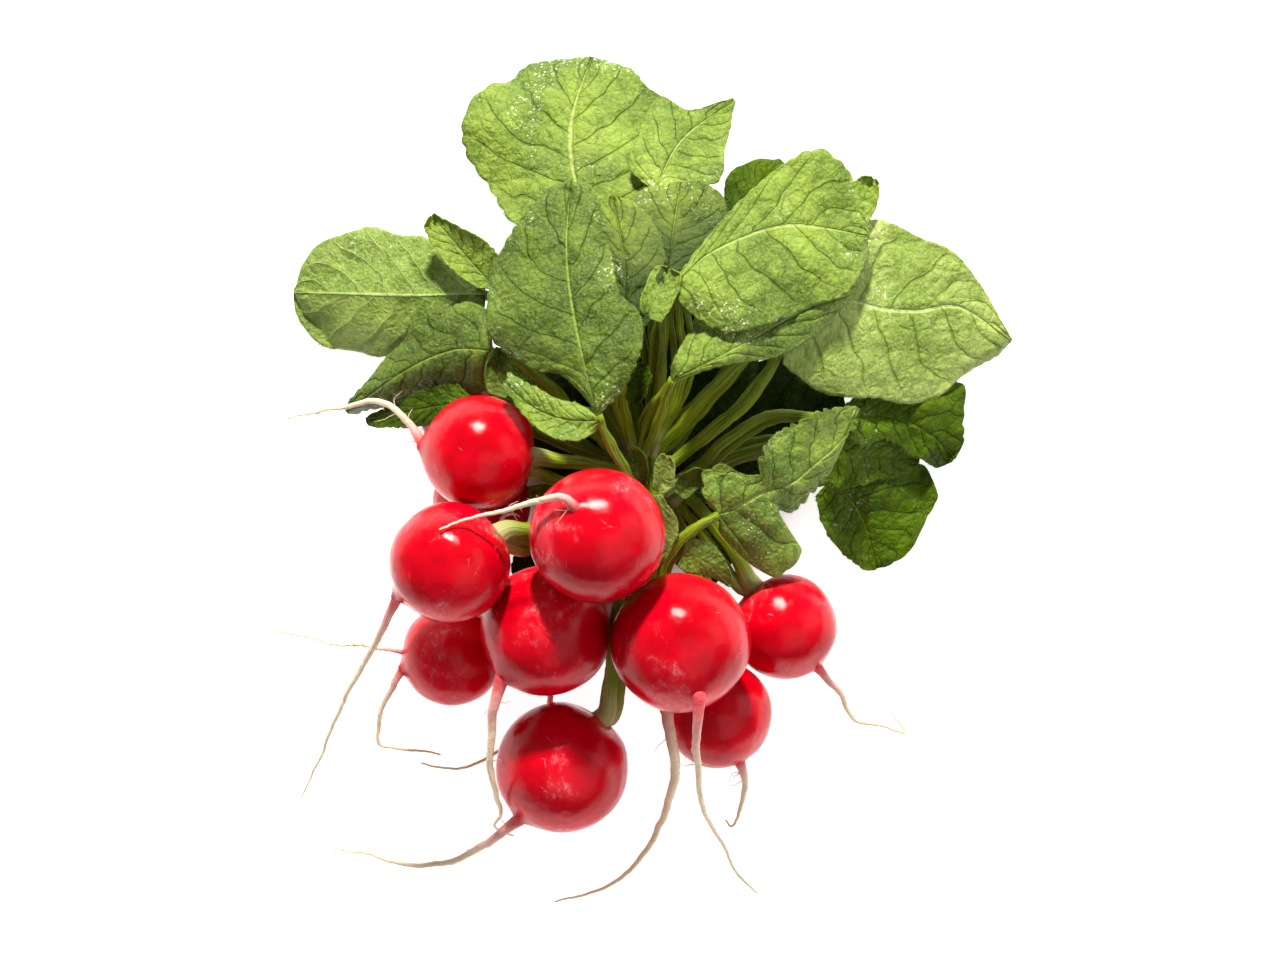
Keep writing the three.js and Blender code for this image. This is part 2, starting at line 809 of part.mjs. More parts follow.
function rootSolid(points, startRadius, center) {
  const steps = Math.max(8, Math.round(points.length * 1.6));
  const inside = vector(points[0]).lerp(vector(center), 0.25).toArray();
  const radiusAt = (s) => rootTip + (startRadius - rootTip) * (1 - s) ** 1.5 + 0.25 * (1 - s);
  return solidFrom(taperedTube([inside, ...points], radiusAt, steps, rootSides));
}

// The table's top, as a thick block just under z = 0.
function tableSolid() {
  const side = 600;
  const depth = 50;
  const block = new THREE.BoxGeometry(side, side, depth);
  block.translate(0, 0, -depth / 2);
  return solidFrom(block);
}

function radishSolid(radish, table) {
  const resting = Math.abs(radish.center[2] - radish.radius) < 0.01;
  const sunk = resting ? radish.center[2] - restFlat : radish.center[2];
  const placed = { ...radish, center: [radish.center[0], radish.center[1], sunk] };
  let solid = bulbSolid(placed, 0).add(rootSolid(radish.root, radish.rootRadius, placed.center));
  if (radish.sideRoot) {
    solid = solid.add(rootSolid(radish.sideRoot, radish.rootRadius * 0.6, placed.center));
  }
  return { solid: solid.subtract(table), swollen: bulbSolid(placed, gap) };
}

const heapAt = (x, y) => {
  const away = Math.hypot(x - heapCenter.x, y - heapCenter.y);
  return heapFoot + heapHeight * Math.exp(-((away / heapSpread) ** 2));
};

// A line through points, read by station from 0 at the stalk to 1 at the tip.
function readerOf(points) {
  const lengths = [0];
  for (let i = 1; i < points.length; i++) {
    const step = Math.hypot(points[i][0] - points[i - 1][0], points[i][1] - points[i - 1][1]);
    lengths.push(lengths[i - 1] + step);
  }
  const known = points.map((point, i) => i).filter((i) => {
    return i === 0 || i === points.length - 1 || points[i].length > 2;
  });
  const stations = points.map(() => 0);
  for (let k = 1; k < known.length; k++) {
    const [from, to] = [known[k - 1], known[k]];
    const start = from === 0 ? 0 : points[from][2];
    const end = to === points.length - 1 ? 1 : points[to][2];
    for (let i = from; i <= to; i++) {
      const share = (lengths[i] - lengths[from]) / (lengths[to] - lengths[from]);
      stations[i] = start + (end - start) * share;
    }
  }
  return (s) => {
    let i = 1;
    while (i < points.length - 1 && stations[i] < s) {
      i++;
    }
    const share = (s - stations[i - 1]) / (stations[i] - stations[i - 1]);
    return new THREE.Vector2(
      THREE.MathUtils.lerp(points[i - 1][0], points[i][0], share),
      THREE.MathUtils.lerp(points[i - 1][1], points[i][1], share),
    );
  };
}

// A blade as a thin shell over a grid of rows along the rib and columns across it.
// The margin is toothed from row to row and waved up and down. Both faces are split alike.
function bladeSolid(leaf, shape, swell) {
  const rib = readerOf(shape.rib);
  const start = rib(0);
  const end = rib(1);
  const ends = (side, sign) => {
    const along = rib(0.05).sub(start).normalize();
    const back = end.clone().sub(rib(0.95)).normalize();
    const width = stalkWidth * sign;
    const tip = tipWidth * sign;
    return [
      [start.x - along.y * width, start.y + along.x * width],
      ...side,
      [end.x - back.y * tip, end.y + back.x * tip],
    ];
  };
  const turnsLeft = (point) => {
    const along = rib(0.4).sub(start);
    return along.x * (point[1] - start.y) - along.y * (point[0] - start.x) > 0 ? 1 : -1;
  };
  const middleOf = (side) => side[Math.floor(side.length / 2)];
  const sides = [
    readerOf(ends(shape.left, turnsLeft(middleOf(shape.left)))),
    readerOf(ends(shape.right, turnsLeft(middleOf(shape.right)))),
  ];
  const rows = shape.rows;
  const columns = bladeColumns;
  const half = bladeThickness / 2 + swell;
  const top = [];
  const bottom = [];
  for (let i = 0; i <= rows; i++) {
    const s = i / rows;
    const spine = rib(s);
    const inner = i > 0 && i < rows;
    const tooth = inner ? toothDepth * (i % 2 ? 1 : -1) : 0;
    const wave = inner ? marginWave * Math.sin(i * 1.9) : 0;
    for (let j = 0; j <= columns; j++) {
      const across = (2 * j) / columns - 1;
      const margin = sides[across < 0 ? 0 : 1](s);
      const outward = margin.clone().sub(spine);
      const width = outward.length();
      const reach = (width + (tooth + swell) * across ** 2) / width;
      const spot = spine.clone().addScaledVector(outward, Math.abs(across) * reach);
      const lift = leaf.cup * across ** 2 + wave * across ** 2 - leaf.droop * s ** 2;
      const height = Math.max(heapAt(spot.x, spot.y) + leaf.layer + lift, lowestPoint + half);
      const keel = across === 0 && inner ? ribRise : 0;
      top.push(spot.x, spot.y, height + half);
      bottom.push(spot.x, spot.y, Math.max(height - half - keel, lowestPoint / 2));
    }
  }
  return solidFrom(shellOf(top, bottom, rows, columns));
}

// Two sheets of (rows + 1) x (columns + 1) points, joined by a wall round their border.
function shellOf(top, bottom, rows, columns) {
  const count = (rows + 1) * (columns + 1);
  const at = (i, j) => i * (columns + 1) + j;
  const index = [];
  for (let i = 0; i < rows; i++) {
    for (let j = 0; j < columns; j++) {
      const corners = [at(i, j), at(i, j + 1), at(i + 1, j + 1), at(i + 1, j)];
      const [a, b, c, d] = j < columns / 2 ? corners : [corners[1], corners[2], corners[3], corners[0]];
      index.push(a, b, c, a, c, d);
      index.push(a + count, c + count, b + count, a + count, d + count, c + count);
    }
  }
  const border = [];
  for (let j = 0; j < columns; j++) {
    border.push(at(0, j));
  }
  for (let i = 0; i < rows; i++) {
    border.push(at(i, columns));
  }
  for (let j = columns; j > 0; j--) {
    border.push(at(rows, j));
  }
  for (let i = rows; i > 0; i--) {
    border.push(at(i, 0));
  }
  border.forEach((a, k) => {
    const b = border[(k + 1) % border.length];
    index.push(b, a, a + count, b, a + count, b + count);
  });
  const geometry = new THREE.BufferGeometry();
  geometry.setAttribute("position", new THREE.Float32BufferAttribute([...top, ...bottom], 3));
  geometry.setIndex(index);
  return geometry;
}

function leafSolid(leaf, swell) {
  const blade = bladeSolid(leaf, leaf, swell);
  return leaf.lobe ? blade.add(bladeSolid(leaf, leaf.lobe, swell)) : blade;
}

function crossingSolid(swell) {
  const ball = new THREE.SphereGeometry(1, 10, 7);
  ball.scale(...crossing.size.map((size) => size + swell));
  ball.translate(...crossing.center);
  return solidFrom(ball);
}

// The way of a stalk, led into its bulb where it starts at a crown.
function ledIn(way) {
  const start = vector(way[0]);
  const away = (radish) => start.distanceTo(vector(radish.center));
  const bulb = radishes.find((radish) => away(radish) < radish.radius + crownReach);
  if (!bulb) {
    return way;
  }
  const inside = start.lerp(vector(bulb.center), crownDepth / away(bulb));
  return [inside.toArray(), ...way];
}

function stalksSolid(swell) {
  const tubes = stalks.map(({ radii, way }) => {
    const radiusAt = (s) => THREE.MathUtils.lerp(radii[0], radii[1], s) + swell;
    return solidFrom(taperedTube(ledIn(way), radiusAt, stalkSteps, stalkSides));
  });
  return wasm.Manifold.union([crossingSolid(swell), ...tubes]);
}

const bunch = new THREE.Group();
const table = tableSolid();
const madeRadishes = radishes.map((radish) => radishSolid(radish, table));
const swollenBulbs = wasm.Manifold.union(madeRadishes.map((made) => made.swollen));

radishes.forEach((radish, i) => {
  bunch.add(nodeFrom(radish.name, madeRadishes[i].solid, "red"));
});

bunch.add(nodeFrom("leaf_stalks", stalksSolid(0).subtract(swollenBulbs), "stalk"));

// Leaves from the top down. Each keeps clear of the bulbs, the stalks and the leaves above it.
let taken = swollenBulbs.add(stalksSolid(gap));
leaves.forEach((leaf) => {
  bunch.add(nodeFrom(leaf.name, leafSolid(leaf, 0).subtract(taken), leaf.color));
  taken = taken.add(leafSolid(leaf, gap));
});

export default bunch;
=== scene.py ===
import bpy
import math
import random
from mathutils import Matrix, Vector, noise


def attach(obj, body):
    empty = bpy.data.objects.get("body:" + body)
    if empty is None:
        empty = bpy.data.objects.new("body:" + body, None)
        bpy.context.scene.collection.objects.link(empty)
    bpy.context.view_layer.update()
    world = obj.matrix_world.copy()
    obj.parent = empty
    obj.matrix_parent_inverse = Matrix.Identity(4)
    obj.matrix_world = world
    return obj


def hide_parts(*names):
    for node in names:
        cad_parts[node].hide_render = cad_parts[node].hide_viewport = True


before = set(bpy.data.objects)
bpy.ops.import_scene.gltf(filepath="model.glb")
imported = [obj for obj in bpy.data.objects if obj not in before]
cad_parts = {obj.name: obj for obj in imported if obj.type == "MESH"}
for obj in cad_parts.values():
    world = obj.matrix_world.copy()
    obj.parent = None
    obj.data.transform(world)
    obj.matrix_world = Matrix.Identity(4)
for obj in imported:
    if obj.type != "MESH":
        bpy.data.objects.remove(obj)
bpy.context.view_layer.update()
print("frame loaded")

mm = 0.001  # the tables below are in millimetres, Blender's objects in metres


# The camera looks straight down on the bunch, from far away, so little is foreshortened.
cameraSetup = dict(height=3.0, lens=334, sensor=36, reach=20)


def addCamera():
    data = bpy.data.cameras.new("camera")
    data.lens = cameraSetup["lens"]
    data.sensor_width = cameraSetup["sensor"]
    data.clip_end = cameraSetup["reach"]
    camera = bpy.data.objects.new("camera", data)
    camera.location = (0, 0, cameraSetup["height"])
    bpy.context.collection.objects.link(camera)
    bpy.context.scene.camera = camera


# Light from the top of the picture, a broad flat panel above the lower right, and a weak sky.
lightSetup = [
    dict(name="key", place=(-0.05, 1.2, 0.95), size=0.14, power=46, color=(1, 0.97, 0.9)),
    dict(name="side", place=(1.3, 0.35, 0.7), size=0.9, power=3.5, color=(1, 1, 1)),
    dict(name="panel", place=(1.07, -1.03, 1.3), size=1.9, power=10, color=(0.98, 0.98, 1), flat=True),
]
skyStrength = 0.2


def addLights():
    for setup in lightSetup:
        data = bpy.data.lights.new(setup["name"], "AREA")
        data.energy = setup["power"]
        data.size = setup["size"]
        data.color = setup["color"]
        light = bpy.data.objects.new(setup["name"], data)
        light.location = setup["place"]
        if not setup.get("flat"):
            light.rotation_euler = (-Vector(setup["place"])).to_track_quat("-Z", "Y").to_euler()
        bpy.context.collection.objects.link(light)
    world = bpy.data.worlds.new("sky")
    world.use_nodes = True
    world.node_tree.nodes["Background"].inputs["Strength"].default_value = skyStrength
    world.node_tree.nodes["Background"].inputs["Color"].default_value = (1, 1, 1, 1)
    bpy.context.scene.world = world
    bpy.context.scene.view_settings.view_transform = "Standard"
    print("camera and lights done:", len(lightSetup))


# A socket that can be added, multiplied and compared, so shader maths reads as a formula.
class Wire:
    def __init__(self, nodes, socket):
        self.nodes = nodes
        self.socket = socket

    def math(self, operation, other=None):
        inputs = {0: self} if other is None else {0: self, 1: other}
        return self.nodes.add("ShaderNodeMath", dict(operation=operation), inputs)

    def __add__(self, other):
        return self.math("ADD", other)

    def __radd__(self, other):
        return self.math("ADD", other)

    def __sub__(self, other):
        return self.math("SUBTRACT", other)

    def __rsub__(self, other):
        return self.nodes.add("ShaderNodeMath", dict(operation="SUBTRACT"), {0: other, 1: self})

    def __mul__(self, other):
        return self.math("MULTIPLY", other)

    def __rmul__(self, other):
        return self.math("MULTIPLY", other)

    def __pow__(self, other):
        return self.math("POWER", other)

    def between(self, low, high):
        settings = dict(interpolation_type="SMOOTHSTEP")
        inputs = {"Value": self, "From Min": low, "From Max": high}
        return self.nodes.add("ShaderNodeMapRange", settings, inputs, "Result")


# The nodes of one material. add() is the only way a node is made.
class Nodes:
    def __init__(self, name):
        self.material = bpy.data.materials.new(name)
        self.material.use_nodes = True
        self.tree = self.material.node_tree
        self.shader = self.tree.nodes["Principled BSDF"]

    def add(self, kind, settings, inputs, output=0):
        node = self.tree.nodes.new(kind)
        for key, value in settings.items():
            setattr(node, key, value)
        for key, value in inputs.items():
            self.feed(node.inputs[key], value)
        return Wire(self, node.outputs[output])

    def feed(self, socket, value):
        if isinstance(value, Wire):
            self.tree.links.new(value.socket, socket)
        elif isinstance(value, tuple) and len(value) == 3 and socket.type == "RGBA":
            socket.default_value = (*value, 1)
        else:
            socket.default_value = value

    def set(self, **sockets):
        for key, value in sockets.items():
            self.feed(self.shader.inputs[socketNames[key]], value)

    def place(self, output="Object"):
        return self.add("ShaderNodeTexCoord", {}, {}, output)

    def split(self, vector, axis):
        return self.add("ShaderNodeSeparateXYZ", {}, {0: vector}, axis)

    def noise(self, vector, scale, detail=3, rough=0.5):
        inputs = {"Vector": vector, "Scale": scale, "Detail": detail, "Roughness": rough}
        return self.add("ShaderNodeTexNoise", {}, inputs)

    # How far a spot is from the edge of its cell.
    def cells(self, vector, scale):
        settings = dict(feature="DISTANCE_TO_EDGE")
        return self.add("ShaderNodeTexVoronoi", settings, {"Vector": vector, "Scale": scale})

    # The place moved by a noise, up to half of reach each way, which bends straight lines.
    def bent(self, vector, scale, reach):
        inputs = {"Vector": vector, "Scale": scale, "Detail": 2, "Roughness": 0.5}
        wave = self.add("ShaderNodeTexNoise", {}, inputs, 1)
        middle = self.add("ShaderNodeVectorMath", dict(operation="SUBTRACT"), {0: wave, 1: (0.5, 0.5, 0.5)})
        push = self.add("ShaderNodeVectorMath", dict(operation="SCALE"), {0: middle, "Scale": reach})
        return self.add("ShaderNodeVectorMath", dict(operation="ADD"), {0: vector, 1: push})

    def stretch(self, vector, scale):
        return self.add("ShaderNodeMapping", {}, {"Vector": vector, "Scale": scale})

    def mix(self, factor, first, second):
        return self.add("ShaderNodeMix", dict(data_type="RGBA"), {0: factor, 6: first, 7: second}, 2)

    def bump(self, height, distance, strength=1.0):
        inputs = {"Height": height, "Distance": distance, "Strength": strength}
        return self.add("ShaderNodeBump", {}, inputs)


socketNames = dict(
    color="Base Color",
    rough="Roughness",
    normal="Normal",
    scatter="Subsurface Weight",
    scatterScale="Subsurface Scale",
    scatterRadius="Subsurface Radius",
    gloss="Specular IOR Level",
    glow="Emission Color",
    glowStrength="Emission Strength",
)


# Red skin: crimson, deeper in soft patches, with hair-fine pale scratches and faint pale scuffs.
skinLook = dict(
    deep=(0.45, 0.0, 0.006),
    bright=(0.74, 0.001, 0.014),
    blush=(0.85, 0.14, 0.17),
    scratch=(0.9, 0.3, 0.34),
    crown=(0.3, 0.2, 0.09),
)
# Scales of its patterns, where a higher one is finer. bendReach is in metres.
skinGrain = dict(
    blotch=60, bend=150, bendReach=0.004, cells=190, rare=140, broken=600, brushed=560, worn=58, uneven=95,
    grain=900, smear=260,
)


def skinMaterial():
    nodes = Nodes("radishSkin")
    place = nodes.place()
    blotch = nodes.noise(place, skinGrain["blotch"], 3, 0.55).between(0.3, 0.7)
    color = nodes.mix(blotch, skinLook["deep"], skinLook["bright"])
    bent = nodes.bent(place, skinGrain["bend"], skinGrain["bendReach"])
    lines = nodes.cells(bent, skinGrain["cells"])
    rare = nodes.noise(place, skinGrain["rare"], 2, 0.5).between(0.62, 0.7)
    broken = nodes.noise(place, skinGrain["broken"], 3, 0.6).between(0.45, 0.6)
    scratch = (1 - lines.between(0.004, 0.03)) * (rare * broken)
    brushed = nodes.noise(nodes.stretch(bent, (1, 0.5, 1)), skinGrain["brushed"], 5, 0.75).between(0.5, 0.66)
    worn = nodes.noise(place, skinGrain["worn"], 3, 0.55)
    scuff = brushed * worn.between(0.54, 0.66)
    color = nodes.mix(worn.between(0.56, 0.72) * 0.3, color, skinLook["blush"])
    color = nodes.mix((scratch * 0.45).math("MAXIMUM", scuff * 0.6), color, skinLook["scratch"])
    polar = nodes.split(nodes.place("UV"), 1)
    crown = 1 - polar.between(0.02, 0.07)
    color = nodes.mix(crown * 0.8, color, skinLook["crown"])
    uneven = nodes.noise(place, skinGrain["uneven"], 2, 0.5)
    grain = nodes.noise(place, skinGrain["grain"], 5, 0.7)
    relief = uneven * 1.2 + grain * 0.12 + scratch * 0.08 + scuff * 0.05
    smear = nodes.noise(place, skinGrain["smear"], 5, 0.7).between(0.35, 0.7)
    rough = 0.08 + smear * 0.12 + scratch * 0.3 + scuff * 0.25
    nodes.set(color=color, rough=rough, normal=nodes.bump(relief, 0.0007), gloss=0.2)
    nodes.set(scatter=0.08, scatterScale=0.003, scatterRadius=(1.0, 0.1, 0.1))
    return nodes.material


# Root skin: pink where it leaves the bulb, then cream, with brown grains and rings across.
rootLook = dict(
    cream=(0.9, 0.74, 0.52), grain=(0.64, 0.45, 0.26), pink=(0.78, 0.26, 0.28), base=(0.7, 0.02, 0.04)
)


def rootMaterial():
    nodes = Nodes("rootSkin")
    place = nodes.place()
    along = nodes.split(nodes.place("UV"), 0)
    patch = nodes.noise(place, 260, 3, 0.6)
    pinkness = 1 - (along + (patch - 0.5) * 0.12).between(0.1, 0.4)
    grains = nodes.noise(place, 700, 4, 0.7).between(0.55, 0.78)
    cream = nodes.mix(grains, rootLook["cream"], rootLook["grain"])
    base = 1 - (along + (patch - 0.5) * 0.06).between(0.05, 0.15)
    color = nodes.mix(pinkness * 0.8, cream, rootLook["pink"])
    color = nodes.mix(base * 0.85, color, rootLook["base"])
    rings = nodes.noise(nodes.stretch(nodes.place("UV"), (160, 3, 1)), 1, 3, 0.6)
    nodes.set(color=color, rough=0.55, normal=nodes.bump(rings, 0.0003), gloss=0.4)
    nodes.set(scatter=0.15, scatterScale=0.002, scatterRadius=(1.0, 0.5, 0.3))
    return nodes.material


# Leaf: sunk veins, darker than the skin between them on top, partly their own greener colour and partly
# painted shade in their grooves, pale and raised on the underside.
leafTones = dict(
    leaf=dict(
        deep=(0.026, 0.058, 0.002), bright=(0.14, 0.215, 0.015),
        vein=(0.025, 0.06, 0.002), rib=(0.27, 0.37, 0.06),
    ),
    # A lit copy of the leaf tone: painted light for the leaves that stand in full light.
    brightLeaf=dict(
        deep=(0.07, 0.135, 0.005), bright=(0.25, 0.36, 0.035),
        vein=(0.05, 0.1, 0.005), rib=(0.4, 0.49, 0.13),
    ),
    # A shaded copy of the leaf tone: painted shade for leaves that lie in shadow.
    darkLeaf=dict(
        deep=(0.015, 0.04, 0.0005), bright=(0.085, 0.15, 0.002),
        vein=(0.013, 0.035, 0.0005), rib=(0.12, 0.19, 0.006),
    ),
    paleLeaf=dict(
        deep=(0.16, 0.25, 0.02), bright=(0.46, 0.56, 0.14),
        vein=(0.13, 0.22, 0.015), rib=(0.52, 0.62, 0.22),
    ),
    # A lit copy of the leaf tone for the heart leaves, which goes over to painted shade near the stalk.
    heartLeaf=dict(
        deep=(0.04, 0.08, 0.003), bright=(0.21, 0.29, 0.025),
        vein=(0.025, 0.06, 0.002), rib=(0.26, 0.36, 0.05),
    ),
    # Near-black blades laid low in the heap's hollows and gaps: painted shade where there is only shadow.
    deepLeaf=dict(
        deep=(0.008, 0.02, 0.0), bright=(0.03, 0.055, 0.001),
        vein=(0.006, 0.016, 0.0), rib=(0.04, 0.07, 0.003),
    ),
    underside=dict(
        deep=(0.1, 0.19, 0.01), bright=(0.28, 0.38, 0.06),
        vein=(0.38, 0.48, 0.13), rib=(0.46, 0.56, 0.2),
    ),
)
# Leaves that stand in full light, painted with the lit copy of the leaf tone as painted light, brighter than
# others of their tone.
sunlit = (
    "leaf_right_upper",
    "leaf_right_under",
    "leaf_top_large",
    "leaf_top_pointed",
    "leaf_left_small",
    "leaf_front_lobed",
    "leaf_front_small",
    "leaf_heart_curled",
    "leaf_back_curl",
)
# How much of the painted glints, highlights of hairs and dew painted into the colour, each tone shows, where
# it isn't all; the shaded tones show fewer.
glinting = dict(heartLeaf=0.5, darkLeaf=0.25, deepLeaf=0.0, underside=0.5)
otherTones = dict(leaf_middle_light="heartLeaf", leaf_middle_dark="heartLeaf", leaf_right_large="paleLeaf")
# Painted shade: the colour that a heart leaf darkens to near its stalk.
shadedBase = (0.02, 0.045, 0.001)  # a heart leaf near its stalk
# The colour of the painted highlights of hairs and dew.
paintedGlint = (0.86, 0.9, 0.72)
# Scales of a leaf's patterns, where a higher one is finer. bendReach is in metres.
leafGrain = dict(
    warp=160, bend=170, bendReach=0.0035, cells=215, broken=190, fineCells=560, fineBroken=120, blotch=42,
    smallBlotch=300, flecks=1500, patch=60, glints=1250, relief=1100, smear=240,
)
veinSweep = 0.24  # how far a side vein runs to the tip while it crosses the blade
sideVeins = 7


def leafMaterial(tone):
    look = leafTones[tone]
    nodes = Nodes(tone + "Blade")
    place = nodes.place()
    uv = nodes.place("UV")
    along = nodes.split(uv, 0)
    across = nodes.split(uv, 1) * 2 - 1
    width = across.math("ABSOLUTE")
    warp = nodes.noise(place, leafGrain["warp"], 3, 0.6) - 0.5
    phase = (along - width * veinSweep) * sideVeins + across.math("GREATER_THAN", 0) * 0.5 + warp * 0.1
    offset = (phase.math("FRACT") - 0.5).math("ABSOLUTE")
    side = (offset + width * 0.012).between(0.468, 0.492) * (1 - width.between(0.75, 0.98))
    rib = 1 - width.between(0.008, 0.034)
    bent = nodes.bent(place, leafGrain["bend"], leafGrain["bendReach"])
    cellEdge = nodes.cells(bent, leafGrain["cells"])
    broken = nodes.noise(place, leafGrain["broken"], 2, 0.5).between(0.32, 0.52)
    net = (1 - cellEdge.between(0.008, 0.045)) * broken
    fineEdge = nodes.cells(bent, leafGrain["fineCells"])
    fineBroken = nodes.noise(place, leafGrain["fineBroken"], 2, 0.5).between(0.42, 0.6)
    fine = (1 - fineEdge.between(0.0, 0.06)) * fineBroken
    large = nodes.noise(place, leafGrain["blotch"], 4, 0.6)
    little = nodes.noise(place, leafGrain["smallBlotch"], 4, 0.7)
    blotch = (large * 0.65 + little * 0.35).between(0.36, 0.66)
    color = nodes.mix(blotch, look["deep"], look["bright"])
    flecks = nodes.noise(place, leafGrain["flecks"], 3, 0.7).between(0.38, 0.72)
    color = nodes.mix(flecks * 0.38, color, look["rib"])
    # On top, the net and side veins take the vein colour, partly their own and partly painted shade in their
    # sunk grooves; on the underside it is their own pale colour.
    color = nodes.mix((net * 0.5).math("MAXIMUM", fine * 0.2), color, look["vein"])
    color = nodes.mix(side * (0.9 if tone == "underside" else 0.6), color, look["vein"])
    color = nodes.mix(rib * 0.8, color, look["rib"])
    # Painted shade: the heart leaves darken towards their stalk.
    if tone == "heartLeaf":
        color = nodes.mix((1 - along.between(0.3, 0.95)) * 0.9, color, shadedBase)
    # Painted highlights: pale glints of hairs and dew, painted into the colour in patches.
    patch = nodes.noise(place, leafGrain["patch"], 2, 0.5).between(0.54, 0.68) * glinting.get(tone, 1)
    glints = nodes.noise(place, leafGrain["glints"], 3, 0.6).between(0.59, 0.67) * patch
    color = nodes.mix(glints * 0.9, color, paintedGlint)
    pillow = cellEdge.between(0.0, 0.3)
    raised = 1 if tone == "underside" else -1
    relief = pillow * (0.2 if raised > 0 else 0.4) + (side * 0.5 + rib * 0.4) * raised
    grain = nodes.noise(place, leafGrain["relief"], 4, 0.65)
    relief = relief + fineEdge.between(0.0, 0.3) * 0.14 + grain * 0.6
    rough = 0.4 + nodes.noise(place, leafGrain["smear"], 3, 0.6) * 0.2 - glints * 0.2
    gloss = 0.08 if tone in ("darkLeaf", "deepLeaf") else 0.25
    nodes.set(color=color, rough=rough, normal=nodes.bump(relief, 0.0009, 0.9), gloss=gloss)
    nodes.set(scatter=0.1, scatterScale=0.0008, scatterRadius=(0.5, 1.0, 0.15))
    return nodes.material


# Stalks: streaked lengthwise, green at the blade and paler at the crown.
stalkLook = dict(deep=(0.09, 0.145, 0.002), bright=(0.32, 0.42, 0.015), crown=(0.5, 0.5, 0.24))


def stalkMaterial():
    nodes = Nodes("stalkSkin")
    place = nodes.place()
    uv = nodes.place("UV")
    along = nodes.split(uv, 0)
    streaks = nodes.noise(nodes.stretch(uv, (3, 22, 1)), 1, 4, 0.6)
    green = nodes.mix(streaks.between(0.3, 0.7), stalkLook["deep"], stalkLook["bright"])
    pale = 1 - (along + (nodes.noise(place, 200, 3, 0.6) - 0.5) * 0.1).between(0.04, 0.24)
    color = nodes.mix(pale * 0.7, green, stalkLook["crown"])
    nodes.set(color=color, rough=0.4, normal=nodes.bump(streaks, 0.0005), gloss=0.25)
    nodes.set(scatter=0.15, scatterScale=0.0015, scatterRadius=(0.6, 1.0, 0.2))
    return nodes.material


# A white floor that glows outside the heap, which leaves hardly a shadow on it.
litFloor = dict(strength=0.9, middle=0.012, dark=0.028, bright=0.052, side=6)


def floorMaterial():
    nodes = Nodes("paleFloor")
    place = nodes.place()
    grain = nodes.noise(place, 30, 3, 0.5)
    away = (nodes.split(place, 0) ** 2 + (nodes.split(place, 1) - litFloor["middle"]) ** 2).math("SQRT")
    glow = nodes.mix(away.between(litFloor["dark"], litFloor["bright"]), (0, 0, 0), (1, 1, 1))
    nodes.set(color=nodes.mix(grain, (0.86, 0.86, 0.86), (0.89, 0.89, 0.89)), rough=0.8, gloss=0.2)
    nodes.set(glow=glow, glowStrength=litFloor["strength"])
    return nodes.material


# A piece starts as a flat grid, whose corners are then moved to their place on the surface.
def gridPiece(name, rows, columns, place, closed=False):
    bpy.ops.object.select_all(action="DESELECT")
    bpy.ops.mesh.primitive_grid_add(x_subdivisions=rows, y_subdivisions=columns, size=1)
    piece = bpy.context.object
    piece.name = name
    for vertex in piece.data.vertices:
        vertex.co = Vector(place(vertex.co.x + 0.5, vertex.co.y + 0.5)) * mm
    bpy.ops.object.mode_set(mode="EDIT")
    bpy.ops.mesh.select_all(action="SELECT")
    if closed:
        bpy.ops.mesh.remove_doubles(threshold=1e-6)
        bpy.ops.mesh.normals_make_consistent(inside=False)
    bpy.ops.object.mode_set(mode="OBJECT")
    bpy.ops.object.shade_smooth()
    return piece


def smooth(low, high, value):
    share = min(max((value - low) / (high - low), 0), 1)
    return share * share * (3 - 2 * share)


# A smooth line through points, read by station from 0 to 1. Points may carry their own station.
def readerOf(points, planar=True):
    size = 2 if planar else 3
    spots = [Vector(point[:size]) for point in points]
    lengths = [0]
    for first, second in zip(spots, spots[1:]):
        lengths.append(lengths[-1] + (second - first).length)
    last = len(points) - 1
    known = [i for i, point in enumerate(points) if i in (0, last) or len(point) > size]
    stations = [0] * len(points)
    for low, high in zip(known, known[1:]):
        start = 0 if low == 0 else points[low][size]
        end = 1 if high == last else points[high][size]
        for i in range(low, high + 1):
            share = (lengths[i] - lengths[low]) / (lengths[high] - lengths[low])
            stations[i] = start + (end - start) * share
    slopes = []
    for i in range(len(spots)):
        before, after = max(i - 1, 0), min(i + 1, last)
        slopes.append((spots[after] - spots[before]) / (stations[after] - stations[before]))

    def read(s):
        i = 1
        while i < last and stations[i] < s:
            i += 1
        span = stations[i] - stations[i - 1]
        share = (s - stations[i - 1]) / span
        square, cube = share**2, share**3
        return (
            spots[i - 1] * (2 * cube - 3 * square + 1)
            + slopes[i - 1] * span * (cube - 2 * square + share)
            + spots[i] * (3 * square - 2 * cube)
            + slopes[i] * span * (cube - square)
        )

    return read


